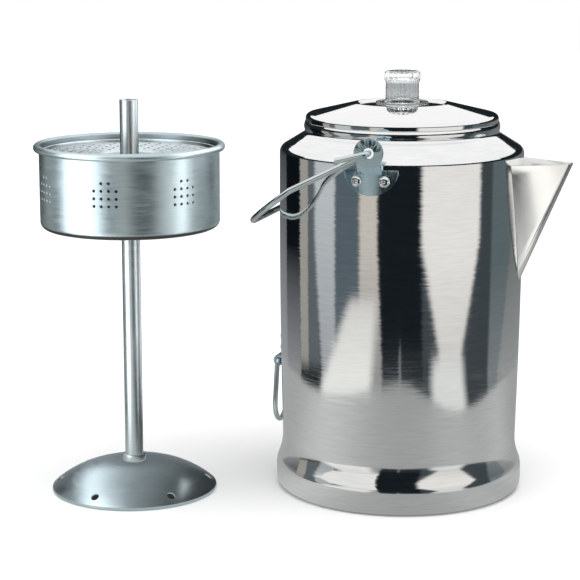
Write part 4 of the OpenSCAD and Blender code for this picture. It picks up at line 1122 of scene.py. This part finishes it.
# The background is plain white where it is seen, mirrored or looked at through glass, and dimmer as a light.
world = bpy.data.worlds.new("white_studio")
bpy.context.scene.world = world
world.use_nodes = True
sky = world.node_tree
backdrop = sky.nodes["Background"].inputs
ray = node(sky, "LightPath")
mirrored = value(sky, "ADD", ray["Is Glossy Ray"], ray["Is Transmission Ray"])
seen = value(sky, "MINIMUM", value(sky, "ADD", ray["Is Camera Ray"], mirrored), 1.0)
backdrop["Color"].default_value = (1, 1, 1, 1)
link(sky, value(sky, "ADD", 0.35, value(sky, "MULTIPLY", seen, 0.65)), backdrop["Strength"])


def lamp(name, kind, at, aim, energy, only=None, **shape):
    """A studio lamp at a place in millimetres; only lists the pieces that it lights, if not all."""
    light = bpy.data.lights.new(name, kind)
    light.energy = energy
    for key, given in shape.items():
        setattr(light, key, given)
    obj = bpy.data.objects.new(name, light)
    obj.location = Vector(at) * MM
    obj.rotation_euler = (Vector(aim) - Vector(at)).to_track_quat("-Z", "Y").to_euler()
    obj.visible_camera = False
    bpy.context.scene.collection.objects.link(obj)
    if only:
        lit = bpy.data.collections.new(name + "_lights")
        for piece in only:
            lit.objects.link(piece)
        obj.light_linking.receiver_collection = obj.light_linking.blocker_collection = lit
    return obj


pump_pieces = [basket, sleeve, spreader, stem, foot, collar, stop]
for piece in pump_pieces:
    piece.visible_glossy = False
pump_middle, spreader_middle = (*PUMP, 190), (*PUMP, SPREADER_Z)
# Each lamp: its name, place and aim, its watts, its width and height in metres and the pieces that it lights.
LAMPS = (
    ("left_strip_lamp", beside_pump(-151, 131, 190), pump_middle, 0.42, (0.18, 0.4), pump_pieces),
    ("right_strip_lamp", beside_pump(197, -33, 190), pump_middle, 0.72, (0.28, 0.4),
     [basket, sleeve, spreader, stem, stop]),
    ("back_strip_lamp", beside_pump(-22, -308, 310), spreader_middle, 0.08, (0.36, 0.14), [spreader]),
    ("spout_lamp", (256, -166, 72), (100, -15, 195), 0.04, (0.2, 0.2), [spout]),
    ("ear_rim_lamp", (210, -80, 180), (0, -88, 228), 0.3, (0.2, 0.2), ears),
)
for name, at, aim, watts, (width, height), only in LAMPS:
    lamp(name, "AREA", at, aim, watts, only, shape="RECTANGLE", size=width, size_y=height)
overhead = lamp("overhead_light", "SUN", (100, -250, 1500), (0, 0, 0), 3.4, angle=1.2)
overhead.visible_glossy = False

lens = bpy.data.cameras.new("view")
lens.lens, lens.sensor_width = VIEW_LENS, 36.0
lens.clip_start, lens.clip_end = 0.05, 20
view = bpy.data.objects.new("view", lens)
around = math.radians(VIEW_AZIMUTH)
view.location = (VIEW_DISTANCE * math.sin(around), -VIEW_DISTANCE * math.cos(around), VIEW_HEIGHT)
view.rotation_euler = (math.radians(90 - VIEW_PITCH), 0, math.radians(VIEW_AZIMUTH + VIEW_YAW))
bpy.context.scene.collection.objects.link(view)
bpy.context.scene.camera = view
bpy.context.scene.view_settings.view_transform = "Standard"
